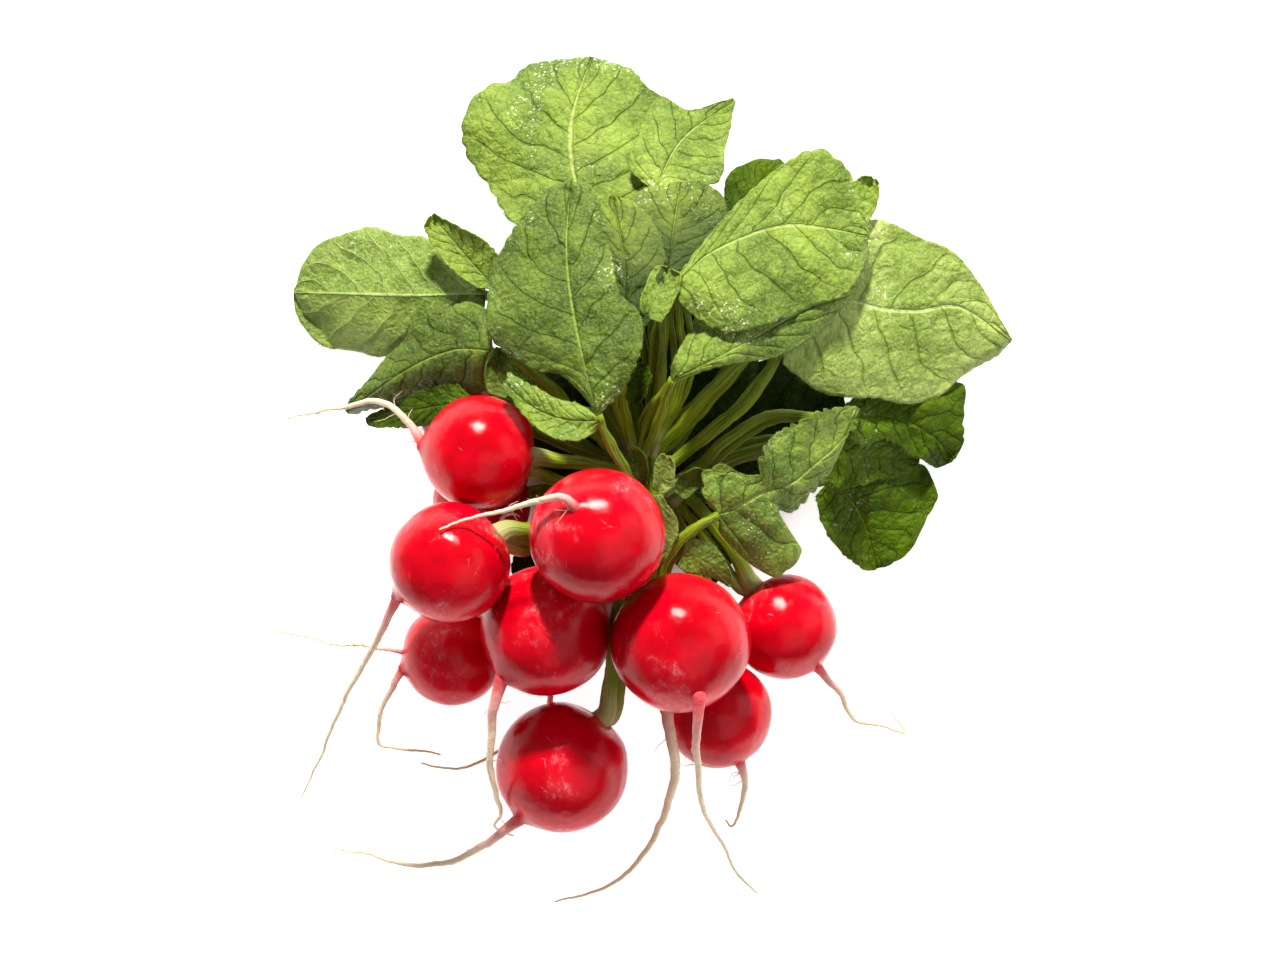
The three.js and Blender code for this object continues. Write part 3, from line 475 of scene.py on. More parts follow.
# Bulb centre, its radius, and the way of each root from the bulb to its tip.
radishes = [
    dict(
        name="radish_left_upper", center=[-39.9, 6.8, 37.5], radius=14.5, rootRadius=1.1,
        root=[
            [-53.4, 8.3, 37.5], [-59.9, 16.8, 33.5], [-66.4, 19.8, 29.5], [-73.4, 18.3, 25.5],
            [-82.9, 16.5, 17], [-88.6, 15.3, 11],
        ],
    ),
    dict(
        name="radish_left_middle", center=[-47.1, -20.8, 47.5], radius=15.2, rootRadius=1.1,
        root=[
            [-59.5, -28.5, 44.5], [-63.4, -35.5, 38], [-67.1, -42.8, 31], [-74.1, -55.3, 21],
            [-80.9, -71.5, 8], [-85.4, -80.3, 1.2],
        ],
    ),
    dict(
        name="radish_top", center=[-10.4, -14, 55], radius=17, rootRadius=1.1,
        root=[
            [-15.9, -6.8, 69.4], [-18.3, -4.8, 70.8], [-21.6, -4.5, 69.8], [-27.4, -6, 66.5],
            [-35.6, -8, 62.8], [-43.9, -10.3, 60.6], [-49.6, -12.5, 61.8],
        ],
    ),
    dict(
        name="radish_center", center=[-23.4, -37.8, 34.5], radius=16.5, rootRadius=1.4,
        root=[
            [-34.1, -49.5, 39], [-36.2, -56.5, 37.5], [-37, -65.8, 33], [-37.2, -72.8, 29],
            [-36, -78.5, 24.5], [-34.8, -84.8, 12], [-36.4, -87.6, 6], [-31.6, -90.3, 2],
        ],
    ),
    dict(
        name="radish_right_center", center=[10.4, -40.8, 41], radius=17.6, rootRadius=1.2,
        root=[
            [14.9, -54, 51.6], [14.4, -61, 49.5], [13.9, -66.8, 44], [15.1, -75.3, 35], [15.9, -82.5, 26],
            [19.6, -89.5, 17], [25.4, -100.3, 5], [30.1, -104.3, 1.2],
        ],
    ),
    dict(
        name="radish_left_lower", center=[-47.1, -44.3, 12.8], radius=12.8, rootRadius=1,
        root=[
            [-59, -47.4, 13], [-62.1, -51.8, 11], [-65.9, -61.5, 5], [-65.6, -66.5, 2.2],
            [-62.1, -67.5, 1.3], [-50.4, -69.5, 0.9],
        ],
        sideRoot=[
            [-58.8, -43.6, 14], [-68.4, -42, 12], [-77.9, -41.5, 8.5], [-84.1, -39.8, 5],
            [-94.1, -38.3, 1.2],
        ],
    ),
    dict(
        name="radish_front", center=[-19.4, -72.3, 16.8], radius=16.8, rootRadius=1.3,
        root=[
            [-29.8, -85.2, 16], [-34.9, -89, 13.5], [-40.6, -93, 8.5], [-49.6, -97, 3.5],
            [-59.6, -97.3, 1.6], [-69.6, -94.5, 1.1], [-78.4, -92.8, 0.9],
        ],
    ),
    dict(
        name="radish_right", center=[36.6, -37, 13.4], radius=13.4, rootRadius=1,
        root=[
            [44.9, -47.4, 13], [50.4, -53.5, 8], [53.4, -59, 3.5], [55.4, -61, 1.8], [61.6, -62.3, 1.1],
            [67, -64, 0.9], [66, -61.6, 0.9], [61.9, -57.3, 1],
        ],
    ),
    dict(
        name="radish_right_front", center=[19.9, -59, 13.8], radius=13.8, rootRadius=1.2,
        root=[
            [25.5, -71.6, 13], [26.6, -76, 9.5], [26.1, -81, 6], [24.6, -86.3, 3], [23.1, -87.5, 2],
            [21.5, -86, 1.5],
        ],
    ),
    dict(
        name="radish_behind_root", center=[1.6, -34.8, 12], radius=12, rootRadius=1.9,
        root=[
            [3, -45.4, 17.5], [5, -53, 22], [6.9, -59, 24], [8.4, -66, 23], [8.9, -72, 19],
            [8.2, -78, 14.5], [5.6, -85.8, 9], [1.6, -93.8, 4.5], [-4.6, -100.8, 2], [-12.1, -104.5, 1.2],
            [-21.6, -106.8, 0.9],
        ],
    ),
    dict(
        name="radish_under_leaf", center=[-44.6, 16.4, 10.6], radius=10.6, rootRadius=0.9,
        root=[[-55.3, 16.2, 9.5], [-60, 15.6, 5], [-64.5, 15.2, 1.4]],
    ),
    dict(
        name="radish_gap", center=[-39.6, -6, 12.5], radius=12.5, rootRadius=0.8,
        root=[[-35.1, -11.2, 22.6], [-33.9, -9.5, 25.5], [-32.1, -8.8, 27], [-29.9, -9.3, 27.5]],
    ),
    dict(
        name="radish_small_hidden", center=[-21.6, -41.5, 9.5], radius=9.5, rootRadius=0.8,
        root=[
            [-22.5, -50.6, 7], [-23.4, -58.3, 3], [-29.6, -63.5, 1.5], [-34.6, -68.3, 1.1],
            [-42.1, -72.3, 1], [-49.6, -73, 0.9], [-55.1, -71.8, 0.9],
        ],
    ),
]

# Blades as seen from above: the midrib from the stalk to the tip, and the margins left and right of it.
# layer is the height in the heap, droop lowers the tip, and cup raises both margins.
# color is the leaf's tone, where the dark and the near-black tones are painted shade.
leaves = [
    dict(
        name="leaf_front_center", color="leaf", layer=26, droop=2, cup=-2,
        rib=[[-10.4, 15.8], [-13.4, 28], [-15.4, 36.8], [-17.4, 49.3], [-18, 60], [-17, 74.5]],
        left=[
            [-12, 18.5], [-19, 25.8], [-26.4, 27.3], [-36.4, 34.8], [-38, 41.5], [-36.4, 53], [-29.6, 64.8],
            [-22, 73],
        ],
        right=[
            [-9.6, 16.3], [-3.4, 23.5], [0.4, 33], [0.4, 41], [-5, 47], [-7.4, 57.3], [-9.6, 68.5],
            [-13, 73.5],
        ],
        lobe=dict(
            rib=[[-9.4, 14.6], [-19, 15], [-27, 18.4], [-33.4, 24.3]],
            left=[[-10.5, 12.2], [-17, 9.5], [-26, 13.5], [-32, 21]],
            right=[[-11, 17.4], [-19.6, 20], [-27, 23.5], [-32.6, 26.8]],
        ),
    ),
    dict(
        name="leaf_right_upper", color="leaf", layer=20, droop=4, cup=-2,
        rib=[[9.4, 49], [17, 56], [31, 62.3], [40.4, 63.5], [57.6, 61]],
        left=[[15.4, 58.5], [25.4, 69.8], [35.4, 78.5], [45, 82.5], [51.6, 78.5], [55.4, 71]],
        right=[
            [9.4, 44.8], [14, 40.3], [21.9, 36.3], [30.4, 38.5], [40.4, 41.8], [51.9, 46.8], [56.6, 54.3],
        ],
    ),
    dict(
        name="leaf_right_under", color="leaf", layer=14.5, droop=2, cup=-1.5,
        rib=[[8.4, 24.8], [22, 31.5], [38, 40.5], [54, 48.5]],
        left=[[8, 28], [13, 37], [25, 45], [40, 51], [50, 52]],
        right=[[15.4, 26.8], [25.4, 29.3], [34.9, 30.8], [45.4, 37.3], [52.9, 45.5]],
    ),
    dict(
        name="leaf_left_folded", color="leaf", layer=18, droop=1, cup=1.5,
        rib=[[-32.5, 21], [-36, 27], [-34.8, 33]],
        left=[[-37.5, 22], [-38.4, 27.5], [-36.6, 31]],
        right=[[-31.6, 24], [-31.9, 28.5], [-33.4, 31.5]],
    ),
    dict(
        name="leaf_heart_curled", color="leaf", layer=18.5, droop=0, cup=2,
        rib=[[2, 40.5], [5, 46.5], [7.5, 52.5]],
        left=[[0.4, 43.5], [2, 49], [4.5, 53]],
        right=[[5.5, 39.5], [8.5, 44], [10.4, 50.5]],
    ),
    dict(
        name="leaf_right_large", color="paleLeaf", layer=8, droop=9, cup=-1,
        rib=[[39, 40.3], [51.9, 44.8], [60.4, 43], [69.4, 42.3], [80.4, 43.5], [94, 34.8]],
        left=[
            [40, 50], [48, 59], [57.4, 65], [62.9, 64.5], [71.6, 60.8], [78.9, 57.3], [85.4, 50.5],
            [90.4, 42.3],
        ],
        right=[
            [35.9, 29.3], [40.4, 25.3], [47.9, 21.5], [54.4, 20], [60.4, 20.3], [68.4, 18.5], [75.4, 21],
            [81.6, 26.3], [90.4, 31],
        ],
    ),
    dict(
        name="leaf_left_large", color="paleLeaf", layer=5, droop=10, cup=-1,
        rib=[[-38.4, 46.5], [-47, 46.5], [-59.6, 46.3], [-72, 46.8], [-87.4, 47.3]],
        left=[
            [-39.6, 39.8], [-49.6, 33.5], [-64.6, 30.5], [-72, 32.3], [-80, 34.3], [-84.6, 38.5],
            [-87, 43.5],
        ],
        right=[
            [-42, 52.3], [-46, 54.3], [-54.6, 61], [-63.4, 63.3], [-69.6, 63.5], [-78.4, 60.3],
            [-84.6, 54.3],
        ],
    ),
    dict(
        name="leaf_left_small", color="leaf", layer=10, droop=-3, cup=2,
        rib=[[-36.6, 48.5], [-43.4, 56], [-52, 66.3]],
        left=[[-42, 49.3], [-48.4, 54.3], [-53.9, 62.8]],
        right=[[-35.4, 56], [-40.9, 61], [-47, 64.3]],
    ),
    dict(
        name="leaf_left_low", color="leaf", layer=13, droop=14, cup=-2,
        rib=[[-36.6, 32.3], [-47, 32.3], [-59.6, 26.8], [-73.9, 17]],
        left=[[-37, 23.5], [-49.6, 21.8], [-59.6, 19.8], [-67, 17.8]],
        right=[[-37.9, 42.3], [-43.4, 44], [-49.6, 42.3], [-57, 41], [-58.4, 36], [-65.9, 28.5], [-72, 21]],
    ),
    dict(
        name="leaf_left_dark", color="darkLeaf", layer=9, droop=12, cup=0,
        rib=[[-42, 19.8], [-54.6, 17.8], [-69, 14.8]],
        left=[[-45, 15.8], [-52, 13.8], [-59.6, 13], [-68, 13.6]],
        right=[[-46, 24], [-56, 22], [-66, 17.4]],
    ),
    dict(
        name="leaf_top_large", color="leaf", layer=8, droop=9, cup=-1,
        rib=[[-9.6, 61], [-15.9, 74.8], [-17, 89.8], [-12, 106.8]],
        left=[
            [-19.6, 63.5], [-31.6, 64.3], [-38.4, 74.8], [-44.4, 87.3], [-43.4, 96], [-37, 100],
            [-32, 100.3], [-27, 104.3], [-19.6, 106],
        ],
        right=[[0.4, 69.8], [6.6, 82.3], [6.6, 94.8], [0.4, 99.8], [-3.4, 103.5]],
    ),
    dict(
        name="leaf_top_pointed", color="leaf", layer=12, droop=5, cup=0,
        rib=[[4, 72.3], [10.4, 84.8], [24, 95.5]],
        left=[[-2, 78], [0.4, 87.3], [5.4, 96], [12.9, 92.8]],
        right=[[15.4, 73.5], [19.9, 75.3], [22.4, 84.8]],
    ),
    dict(
        name="leaf_middle_light", color="paleLeaf", layer=18.5, droop=1, cup=0,
        rib=[[-3.4, 37.3], [-3.4, 52.3], [-6.6, 71]],
        left=[[-8, 44], [-12, 54.8], [-12, 68.5]],
        right=[[2.9, 39.8], [6.6, 53.5], [4, 63.5], [-2, 69.8]],
    ),
    dict(
        name="leaf_middle_dark", color="darkLeaf", layer=14.5, droop=2, cup=0,
        rib=[[6.6, 47.3], [8.4, 61], [10.4, 74.5]],
        left=[[4, 51], [0.4, 61], [-4.6, 66], [0.4, 72.3]],
        right=[[15.4, 52.3], [20, 60], [22, 66], [19, 72.8]],
    ),
    dict(
        name="leaf_back_right", color="darkLeaf", layer=6, droop=3, cup=0,
        rib=[[24, 64], [28, 72], [35.9, 80.3]],
        left=[[21.5, 69], [22.4, 76.5], [28, 80]],
        right=[[29, 66], [35, 72], [38, 77.5]],
    ),
    dict(
        name="leaf_back_curl", color="leaf", layer=8, droop=-2, cup=2,
        rib=[[50, 60], [54.5, 67], [59, 75.6]],
        left=[[49, 65], [52, 72], [56, 76]],
        right=[[54.6, 61.5], [59, 67.6], [60.2, 73]],
    ),
    dict(
        name="leaf_right_dark", color="darkLeaf", layer=1, droop=8, cup=0,
        rib=[[50.4, 14.8], [62.9, 15.8], [74, 11], [79.6, 5]],
        left=[[54, 20], [62, 23], [70.4, 25], [80.9, 23.5], [82.5, 17.3], [82, 10]],
        right=[[55.4, 8], [62, 11], [69.9, 6.3], [76, 3.6]],
    ),
    dict(
        name="leaf_right_low", color="darkLeaf", layer=-3, droop=5, cup=0,
        rib=[[49, 8], [57.9, 6], [70.9, 5]],
        left=[[53, 12], [61, 12], [69, 9]],
        right=[[47, 3], [50.4, -1.7], [61.9, 0], [67.6, 1.5]],
    ),
    dict(
        name="leaf_right_bottom", color="darkLeaf", layer=-7.5, droop=2.5, cup=0,
        rib=[[47.9, -0.3], [55.4, -8.3], [60.4, -22.5]],
        left=[[57.9, 2.3], [66, 4], [71.6, 3], [75.9, -4], [71.6, -11.5], [67.6, -18.8], [63, -22]],
        right=[[45, -5.3], [49, -15.3], [54, -21]],
    ),
    dict(
        name="leaf_front_lobed", color="leaf", layer=11, droop=5, cup=-1,
        rib=[[19.9, -8.8], [26.2, -6], [32.3, -2.7], [38.6, -0.9], [43.1, 2.8], [50.8, 9.8], [55, 18]],
        left=[
            [17.4, -6.6], [15.8, -1.5], [16.8, 2.6], [21.7, 3.6], [25, 1.6], [29.6, 0.7, 0.3], [30.4, 5],
            [31.6, 8.9], [36, 12.6], [43.2, 15.8], [52, 18.4],
        ],
        right=[
            [20.1, -13], [27.4, -20.6], [32.3, -23.9], [35.9, -24.2], [41.2, -18.4], [36.8, -13],
            [34.8, -8.6, 0.36], [38, -8.8], [41.7, -5.1], [45.9, -0.3], [49.3, 4.6], [54, 13.8],
        ],
    ),
    dict(
        name="leaf_front_small", color="leaf", layer=12.5, droop=2, cup=0,
        rib=[[10.5, -19], [15.5, -20], [23.1, -26.6]],
        left=[[13, -14.8], [17.4, -15.8], [20.6, -18.7], [22.7, -22.9]],
        right=[[9.9, -21.7], [12.4, -23.2], [17.6, -24.2]],
    ),
    dict(
        name="leaf_behind_top_radish", color="paleLeaf", layer=15, droop=2, cup=0,
        rib=[[4.5, -4], [6.6, -12], [5, -21.5]],
        left=[[6.4, -5], [9.9, -11.7], [8.1, -17]],
        right=[[2.4, -5], [3, -12], [2.6, -19]],
    ),
    dict(
        name="leaf_stalk_wing", color="leaf", layer=11, droop=2, cup=1,
        rib=[[-3.4, 5.5], [-1, 3], [1.2, -1.5]],
        left=[[-1, 8], [1.4, 6], [2.2, 2]],
        right=[[-4.4, 3], [-3, -0.3], [-0.6, -2]],
    ),
    dict(
        name="leaf_heart_bright", color="paleLeaf", layer=7, droop=0, cup=1,
        rib=[[4.6, -3], [6, 1], [7, 6]],
        left=[[3.6, -0.5], [3.9, 3.4], [5, 6]],
        right=[[6.6, -3.2], [8.6, -0.6], [8.6, 4]],
    ),
    dict(
        name="leaf_heart_folded", color="leaf", layer=4, droop=0, cup=1,
        rib=[[10, -4], [12.5, -1], [16.3, 2]],
        left=[[9, -1.6], [10.4, 1], [14, 2.6]],
        right=[[12, -4.4], [14.8, -1.8], [16.4, 0.4]],
    ),
    dict(
        name="leaf_heart_curly", color="darkLeaf", layer=9.5, droop=0, cup=1,
        rib=[[-1.4, 19], [-0.4, 23.4], [0.4, 29]],
        left=[[-3, 21], [-3, 26]],
        right=[[1, 20.6], [2.6, 24], [2.6, 27.6]],
    ),
    dict(
        name="leaf_under_heart", color="deepLeaf", layer=-18, droop=1, cup=-1,
        rib=[[2, -2], [7, 14], [12, 34], [15, 54]],
        left=[[-8, 8], [-13, 26], [-8, 46]],
        right=[[14, 4], [27, 20], [29, 40]],
    ),
    dict(
        name="leaf_under_right", color="deepLeaf", layer=-21, droop=1, cup=1,
        rib=[[6, 0], [20, 9], [36, 15], [52, 20]],
        left=[[12, 16], [26, 28], [42, 32]],
        right=[[14, -5], [28, -7], [42, 0], [52, 10]],
    ),
    dict(
        name="leaf_under_left", color="deepLeaf", layer=-22, droop=1, cup=1,
        rib=[[-2, 0], [-14, 10], [-26, 22], [-34, 32]],
        left=[[-12, -5], [-24, 2], [-33, 14], [-37, 26]],
        right=[[0, 14], [-10, 28], [-22, 36]],
    ),
    dict(
        name="leaf_under_front", color="deepLeaf", layer=-15, droop=1, cup=0,
        rib=[[4, -6], [14, -14], [24, -20]],
        left=[[12, -4], [24, -9], [31, -15]],
        right=[[2, -16], [10, -22], [18, -27]],
    ),
    dict(
        name="leaf_under_bulbs", color="deepLeaf", layer=-12, droop=1, cup=0,
        rib=[[-4, -6], [-18, -14], [-32, -24]],
        left=[[-2, -16], [-14, -24], [-26, -30]],
        right=[[-10, -2], [-22, -8], [-31, -18]],
    ),
]

# Stalks: radius at the start and at the end, and the way between. Those that carry blades come first.
stalks = [
    dict(
        radii=[1.6, 1.1],
        way=[[-4.6, -20, 36], [-1, -8, 30], [-2.6, 1, 40], [-6.6, 8, 50], [-10.4, 15.8, 56]],
    ),
    dict(
        radii=[1.8, 1.2],
        way=[
            [5.6, -25, 27], [3.6, 5.8, 28], [6.5, 10.3, 30.5], [12.8, 17.3, 34], [21, 25, 37], [30, 34, 38],
        ],
    ),
    dict(radii=[1.6, 1.2], way=[[0, 4, 28], [4, 13, 38], [8.4, 24.8, 49.5]]),
    dict(
        radii=[1.8, 1.4],
        way=[[2, 0, 25], [13.6, 8.3, 30], [19.4, 12.8, 32], [26, 18, 33], [33, 28, 33], [39, 40.3, 34.6]],
    ),
    dict(
        radii=[1.9, 1.3],
        way=[[6, -3, 24], [13.6, 2, 26], [22, 10, 28], [33.4, 16, 26], [50.4, 14.8, 22.5]],
    ),
    dict(radii=[1.7, 1.2], way=[[8, -6, 20], [17, 2, 22], [30, 8, 22], [49, 8, 17.2]]),
    dict(radii=[1.6, 1.2], way=[[6, -5, 17], [20, -3, 17], [34, -1, 14.5], [47.9, -0.3, 11.4]]),
    dict(
        radii=[1.6, 1.2],
        way=[[5.8, -25.8, 28.5], [6.4, -20.8, 31], [9, -17.5, 32.6], [13, -12.9, 34.4], [19.9, -8.8, 34.4]],
    ),
    dict(radii=[1.7, 1.2], way=[[2, 2, 20], [-2, 28, 26], [-6, 45, 29], [-9.6, 61, 31.4]]),
    dict(radii=[1.7, 1.2], way=[[5, 4, 23], [4, 30, 31], [3, 50, 34], [4, 72.3, 32.2]]),
    dict(radii=[1.6, 1.1], way=[[-1, 6, 28], [-4, 22, 43], [-3.4, 37.3, 53.8]]),
    dict(radii=[1.6, 1.1], way=[[2, 4, 26], [5, 20, 36], [6.2, 34, 44], [6.6, 47.3, 47.6]]),
    dict(radii=[1.6, 1.1], way=[[3, 6, 28], [11, 28, 40], [10, 40, 46], [9.4, 49, 51]]),
    dict(radii=[1.5, 1], way=[[5, 4, 21], [14, 35, 27], [20, 52, 28], [24, 64, 28.6]]),
    dict(radii=[1.5, 1], way=[[6, 3, 22], [22, 28, 27], [38, 48, 26], [50, 60, 24.6]]),
    dict(radii=[1.7, 1.3], way=[[0, 2, 19], [-14, 25, 21], [-28, 41, 22.5], [-38.4, 46.5, 22.4]]),
    dict(radii=[1.5, 1], way=[[0, 4, 22], [-16, 30, 27], [-29, 44, 28], [-36.6, 48.5, 27.6]]),
    dict(radii=[1.6, 1.1], way=[[-1, 2, 25], [-18, 18, 31], [-28, 28, 32.5], [-36.6, 32.3, 32.3]]),
    dict(radii=[1.4, 1], way=[[-2, 1, 21], [-22, 14, 24], [-34, 19.8, 26.4], [-42, 19.8, 25.8]]),
    dict(radii=[2.4, 1.5], way=[[-24.6, 5.4, 36.6], [-18, 4.4, 33], [-8, 3, 28], [2, 1, 23]]),
    dict(radii=[2.2, 1.4], way=[[-25.4, 2, 34], [-18, -1, 28], [-6, 0, 24]]),
    dict(radii=[2.5, 1.5], way=[[-33.2, -12.6, 42.4], [-28.4, -12.6, 39.4], [-22, -10.6, 32], [-4, 0, 24]]),
    dict(radii=[2, 1.4], way=[[-33.4, -16, 39.6], [-28.6, -17.6, 35.6], [-20, -14, 27], [-4, -2, 21]]),
    dict(radii=[2.4, 1.5], way=[[-11.6, -24.8, 29.8], [-7.6, -17, 26], [0, -2, 22]]),
    dict(radii=[2, 1.4], way=[[-34, -40.4, 11.5], [-29, -32.4, 10.5], [-20, -22, 11.5], [-2, -2, 18]]),
    dict(
        radii=[2.3, 1.5],
        way=[[-8.2, -58.4, 17.5], [-7.2, -51, 21], [-6.4, -40, 25], [-4, -22, 24.5], [0, -4, 22]],
    ),
    dict(radii=[2.4, 1.5], way=[[27.4, -25.2, 14.6], [23, -17, 18], [12, -4, 21], [4, 2, 22]]),
    dict(radii=[2, 1.4], way=[[14.8, -44.4, 13.5], [16.2, -36, 13], [14, -22, 14.5], [6, -2, 19]]),
    dict(radii=[2, 1.4], way=[[0.6, -22.4, 11], [1, -12, 15], [2, -2, 20]]),
    dict(radii=[2, 1.4], way=[[-33.2, 15.4, 12.2], [-22, 10, 15], [0, 2, 21]]),
    dict(radii=[2, 1.4], way=[[-26.8, -4.6, 12.6], [-16, -3, 15.5], [0, 0, 20]]),
    dict(radii=[1.8, 1.3], way=[[-15.6, -33, 10], [-10.6, -23, 11.5], [0, -4, 18]]),
]

# Grooves of a stalk, as shares of its radius: ribs all round and a channel on top.
grooves = dict(ribs=6, ribDepth=0.1, channelDepth=0.22, channelWidth=0.1)
# How a tube bends: scales of the bends per millimetre, and the share of the small ones.
bends = dict(scale=0.16, smallScale=0.7, small=0.3, ease=6)


def wayLength(points, size=3):
    return sum((Vector(b[:size]) - Vector(a[:size])).length for a, b in zip(points, points[1:]))


# The bend of a tube at a spot: three plain noises, which are the same in every run.
bendShifts = (0, 37.3, 71.9)


def bendAt(spot):
    return Vector([noise.noise(spot + Vector((0, 0, shift))) for shift in bendShifts])


# A round tube along a smooth line, closed at both ends. wobble bends it a little all along.
def tubePiece(name, points, radiusAt, steps, sides, wobble=0.0, seed=0, ridges=0):
    read = readerOf(points, planar=False)
    middles, fronts, rights = [], [], []
    right = Vector((0, 0, 1))
    for i in range(steps + 1):
        s = i / steps
        middle = read(s)
        ease = min(1, bends["ease"] * s)
        drift = bendAt(middle * bends["scale"] + Vector((seed, 0, 0))) * wobble * ease
        fine = bendAt(middle * bends["smallScale"] + Vector((0, seed, 0)))
        middle = middle + drift + fine * wobble * bends["small"] * ease
        middle.z = max(middle.z, radiusAt(s))
        middles.append(middle)
    for i in range(steps + 1):
        front = (middles[min(i + 1, steps)] - middles[max(i - 1, 0)]).normalized()
        right = (right - front * right.dot(front)).normalized()
        if right.length < 0.5:
            right = front.orthogonal().normalized()
        fronts.append(front)
        rights.append(right)

    def place(s, t):
        i = min(int(round(s * (steps + 2))), steps + 2)
        cap = i in (0, steps + 2)
        i = min(max(i - 1, 0), steps)
        angle = 2 * math.pi * t
        up = fronts[i].cross(rights[i])
        channel = grooves["channelDepth"] * math.exp(-(((t - 0.5) / grooves["channelWidth"]) ** 2))
        groove = 1 + ridges * (grooves["ribDepth"] * math.cos(grooves["ribs"] * angle) - channel)
        radius = 0 if cap else radiusAt(i / steps) * groove
        return middles[i] + (rights[i] * math.cos(angle) + up * math.sin(angle)) * radius

    return gridPiece(name, steps + 2, sides, place, closed=True)


def joined(name, parts):
    bpy.ops.object.select_all(action="DESELECT")
    for part in parts:
        part.select_set(True)
    bpy.context.view_layer.objects.active = parts[0]
    if len(parts) > 1:
        bpy.ops.object.join()
    parts[0].name = name
    return parts[0]


def finish(piece, material, node):
    piece.data.materials.clear()
    piece.data.materials.append(material)
    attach(piece, "root")
    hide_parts(node)


# The bulb is a little uneven, flat at the crown, and runs out into its root.
bulbShape = dict(
    around=72,
    down=48,
    uneven=0.03,
    lobed=0.02,
    flatCrown=0.06,
    neckStart=0.87,
    neckWiden=0.07,
    neckReach=0.16,
    neckRadius=1.05,
    neckFill=0.8,
    slimming=0.6,
)
# Bulbs that run out into their root more slowly than the others.
necks = dict(
    radish_left_upper=0.35, radish_left_middle=0.7, radish_center=0.5, radish_left_lower=0.5, radish_front=0.3
)
restFlat = 0.3  # how far a bulb on the table is pressed flat


def bulbPiece(radish):
    center = Vector(radish["center"])
    if abs(center.z - radish["radius"]) < 0.01:
        center.z -= restFlat
    toRoot = Vector(radish["root"][0]) - center
    slim = necks.get(radish["name"], 0)
    reach = max(toRoot.length, radish["radius"] * (1.02 + bulbShape["neckReach"] * slim))
    turn = Vector((0, 0, 1)).rotation_difference(toRoot)
    radius = radish["radius"]
    neck = radish["rootRadius"] * bulbShape["neckRadius"]

    def place(s, t):
        angle = 2 * math.pi * s
        polar = math.pi * t
        out = Vector((math.sin(polar) * math.cos(angle), math.sin(polar) * math.sin(angle), -math.cos(polar)))
        bumps = 1 + bulbShape["uneven"] * (noise.noise(out * 1.3 + center * 0.1) - 0.25)
        lobes = 1 - bulbShape["lobed"] * math.cos(3 * angle + center.x) * (1 - smooth(0.05, 0.3, t))
        spot = out * radius * bumps * lobes
        spot.z *= 1 - bulbShape["flatCrown"] * (1 - smooth(0.06, 0.22, t))
        tail = smooth(bulbShape["neckStart"] - bulbShape["neckWiden"] * slim, 1, t) ** 2
        flat = math.hypot(spot.x, spot.y) * (1 - bulbShape["slimming"] * tail)
        wide = math.hypot(flat, neck * tail * bulbShape["neckFill"]) if 0 < t < 1 else 0
        spot.z += (reach - radius * 0.985) * tail
        spot.x, spot.y = wide * math.cos(angle), wide * math.sin(angle)
        spot = center + turn @ spot
        spot.z = max(spot.z, 0)
        return spot

    return gridPiece(radish["name"] + "_bulb", bulbShape["around"], bulbShape["down"], place, closed=True)


# Roots taper fast at first, then slowly. Hair-fine rootlets stand off them near the bulb.
rootShape = dict(
    tip=0.22, sides=10, perMillimetre=1.6, taper=1.05, swell=0.9, swellReach=0.06, wobble=0.55, sideShare=0.5
)
rootlets = dict(count=9, radius=0.13, longest=9, steps=9, sides=5, wobble=0.8)


def rootRadiusAt(startRadius):
    def radiusAt(s):
        main = rootShape["tip"] + (startRadius - rootShape["tip"]) * (1 - s) ** rootShape["taper"]
        return main + startRadius * rootShape["swell"] * math.exp(-s / rootShape["swellReach"])

    return radiusAt


def rootletRadiusAt(s):
    return rootlets["radius"] * (1.1 - s * 0.8)


def rootPiece(radish, points, startRadius, name, dice):
    center = Vector(radish["center"])
    inside = Vector(points[0]).lerp(center, 0.12)
    way = [tuple(inside)] + points
    steps = int(wayLength(way) * rootShape["perMillimetre"]) + 8
    seed = dice.uniform(0, 50)
    radiusAt = rootRadiusAt(startRadius)
    parts = [tubePiece(name, way, radiusAt, steps, rootShape["sides"], rootShape["wobble"], seed)]
    read = readerOf(way, planar=False)
    for i in range(rootlets["count"]):
        s = dice.uniform(0.04, 0.55)
        start = read(s)
        lean = Vector((dice.uniform(-1, 1), dice.uniform(-1, 0.5), dice.uniform(-0.5, 0.4)))
        side = (lean + (read(min(s + 0.05, 1)) - start).normalized() * 0.6).normalized()
        size = dice.uniform(0.25, 1) * rootlets["longest"] * (0.5 if s > 0.3 else 0.8)
        bend = Vector((dice.uniform(-1, 1), dice.uniform(-1, 1), dice.uniform(-0.6, 0.2))) * size * 0.3
        tip = start + side * size + bend * 0.3
        hair = [tuple(start), tuple(start + side * size * 0.5 + bend), tuple(tip)]
        shape = (rootlets["steps"], rootlets["sides"], rootlets["wobble"], seed + i)
        parts.append(tubePiece(name, hair, rootletRadiusAt, *shape))
    return joined(name, parts)


# Leaf blades: fine grids with teeth and waves at the margin, sunk veins and a raised skin between them.
bladeShape = dict(
    thickness=0.34,
    stalkWidth=1.0,
    tipWidth=0.6,
    teeth=1.15,
    lobes=1.0,
    toothPitch=2.6,
    waves=0.9,
    sunkRib=0.45,
    sunkVein=0.24,
    pillow=0.3,
    crumple=0.9,
    swell=1.9,
    veinBend=0.05,
    waveScale=0.33,
    crumpleScale=0.14,
    swellScale=0.055,
    lowest=0.7,
    smallLength=22,
    fullLength=40,
)
bladeGrids = dict(fine=(130, 54), coarse=(44, 24))  # rows along and columns across
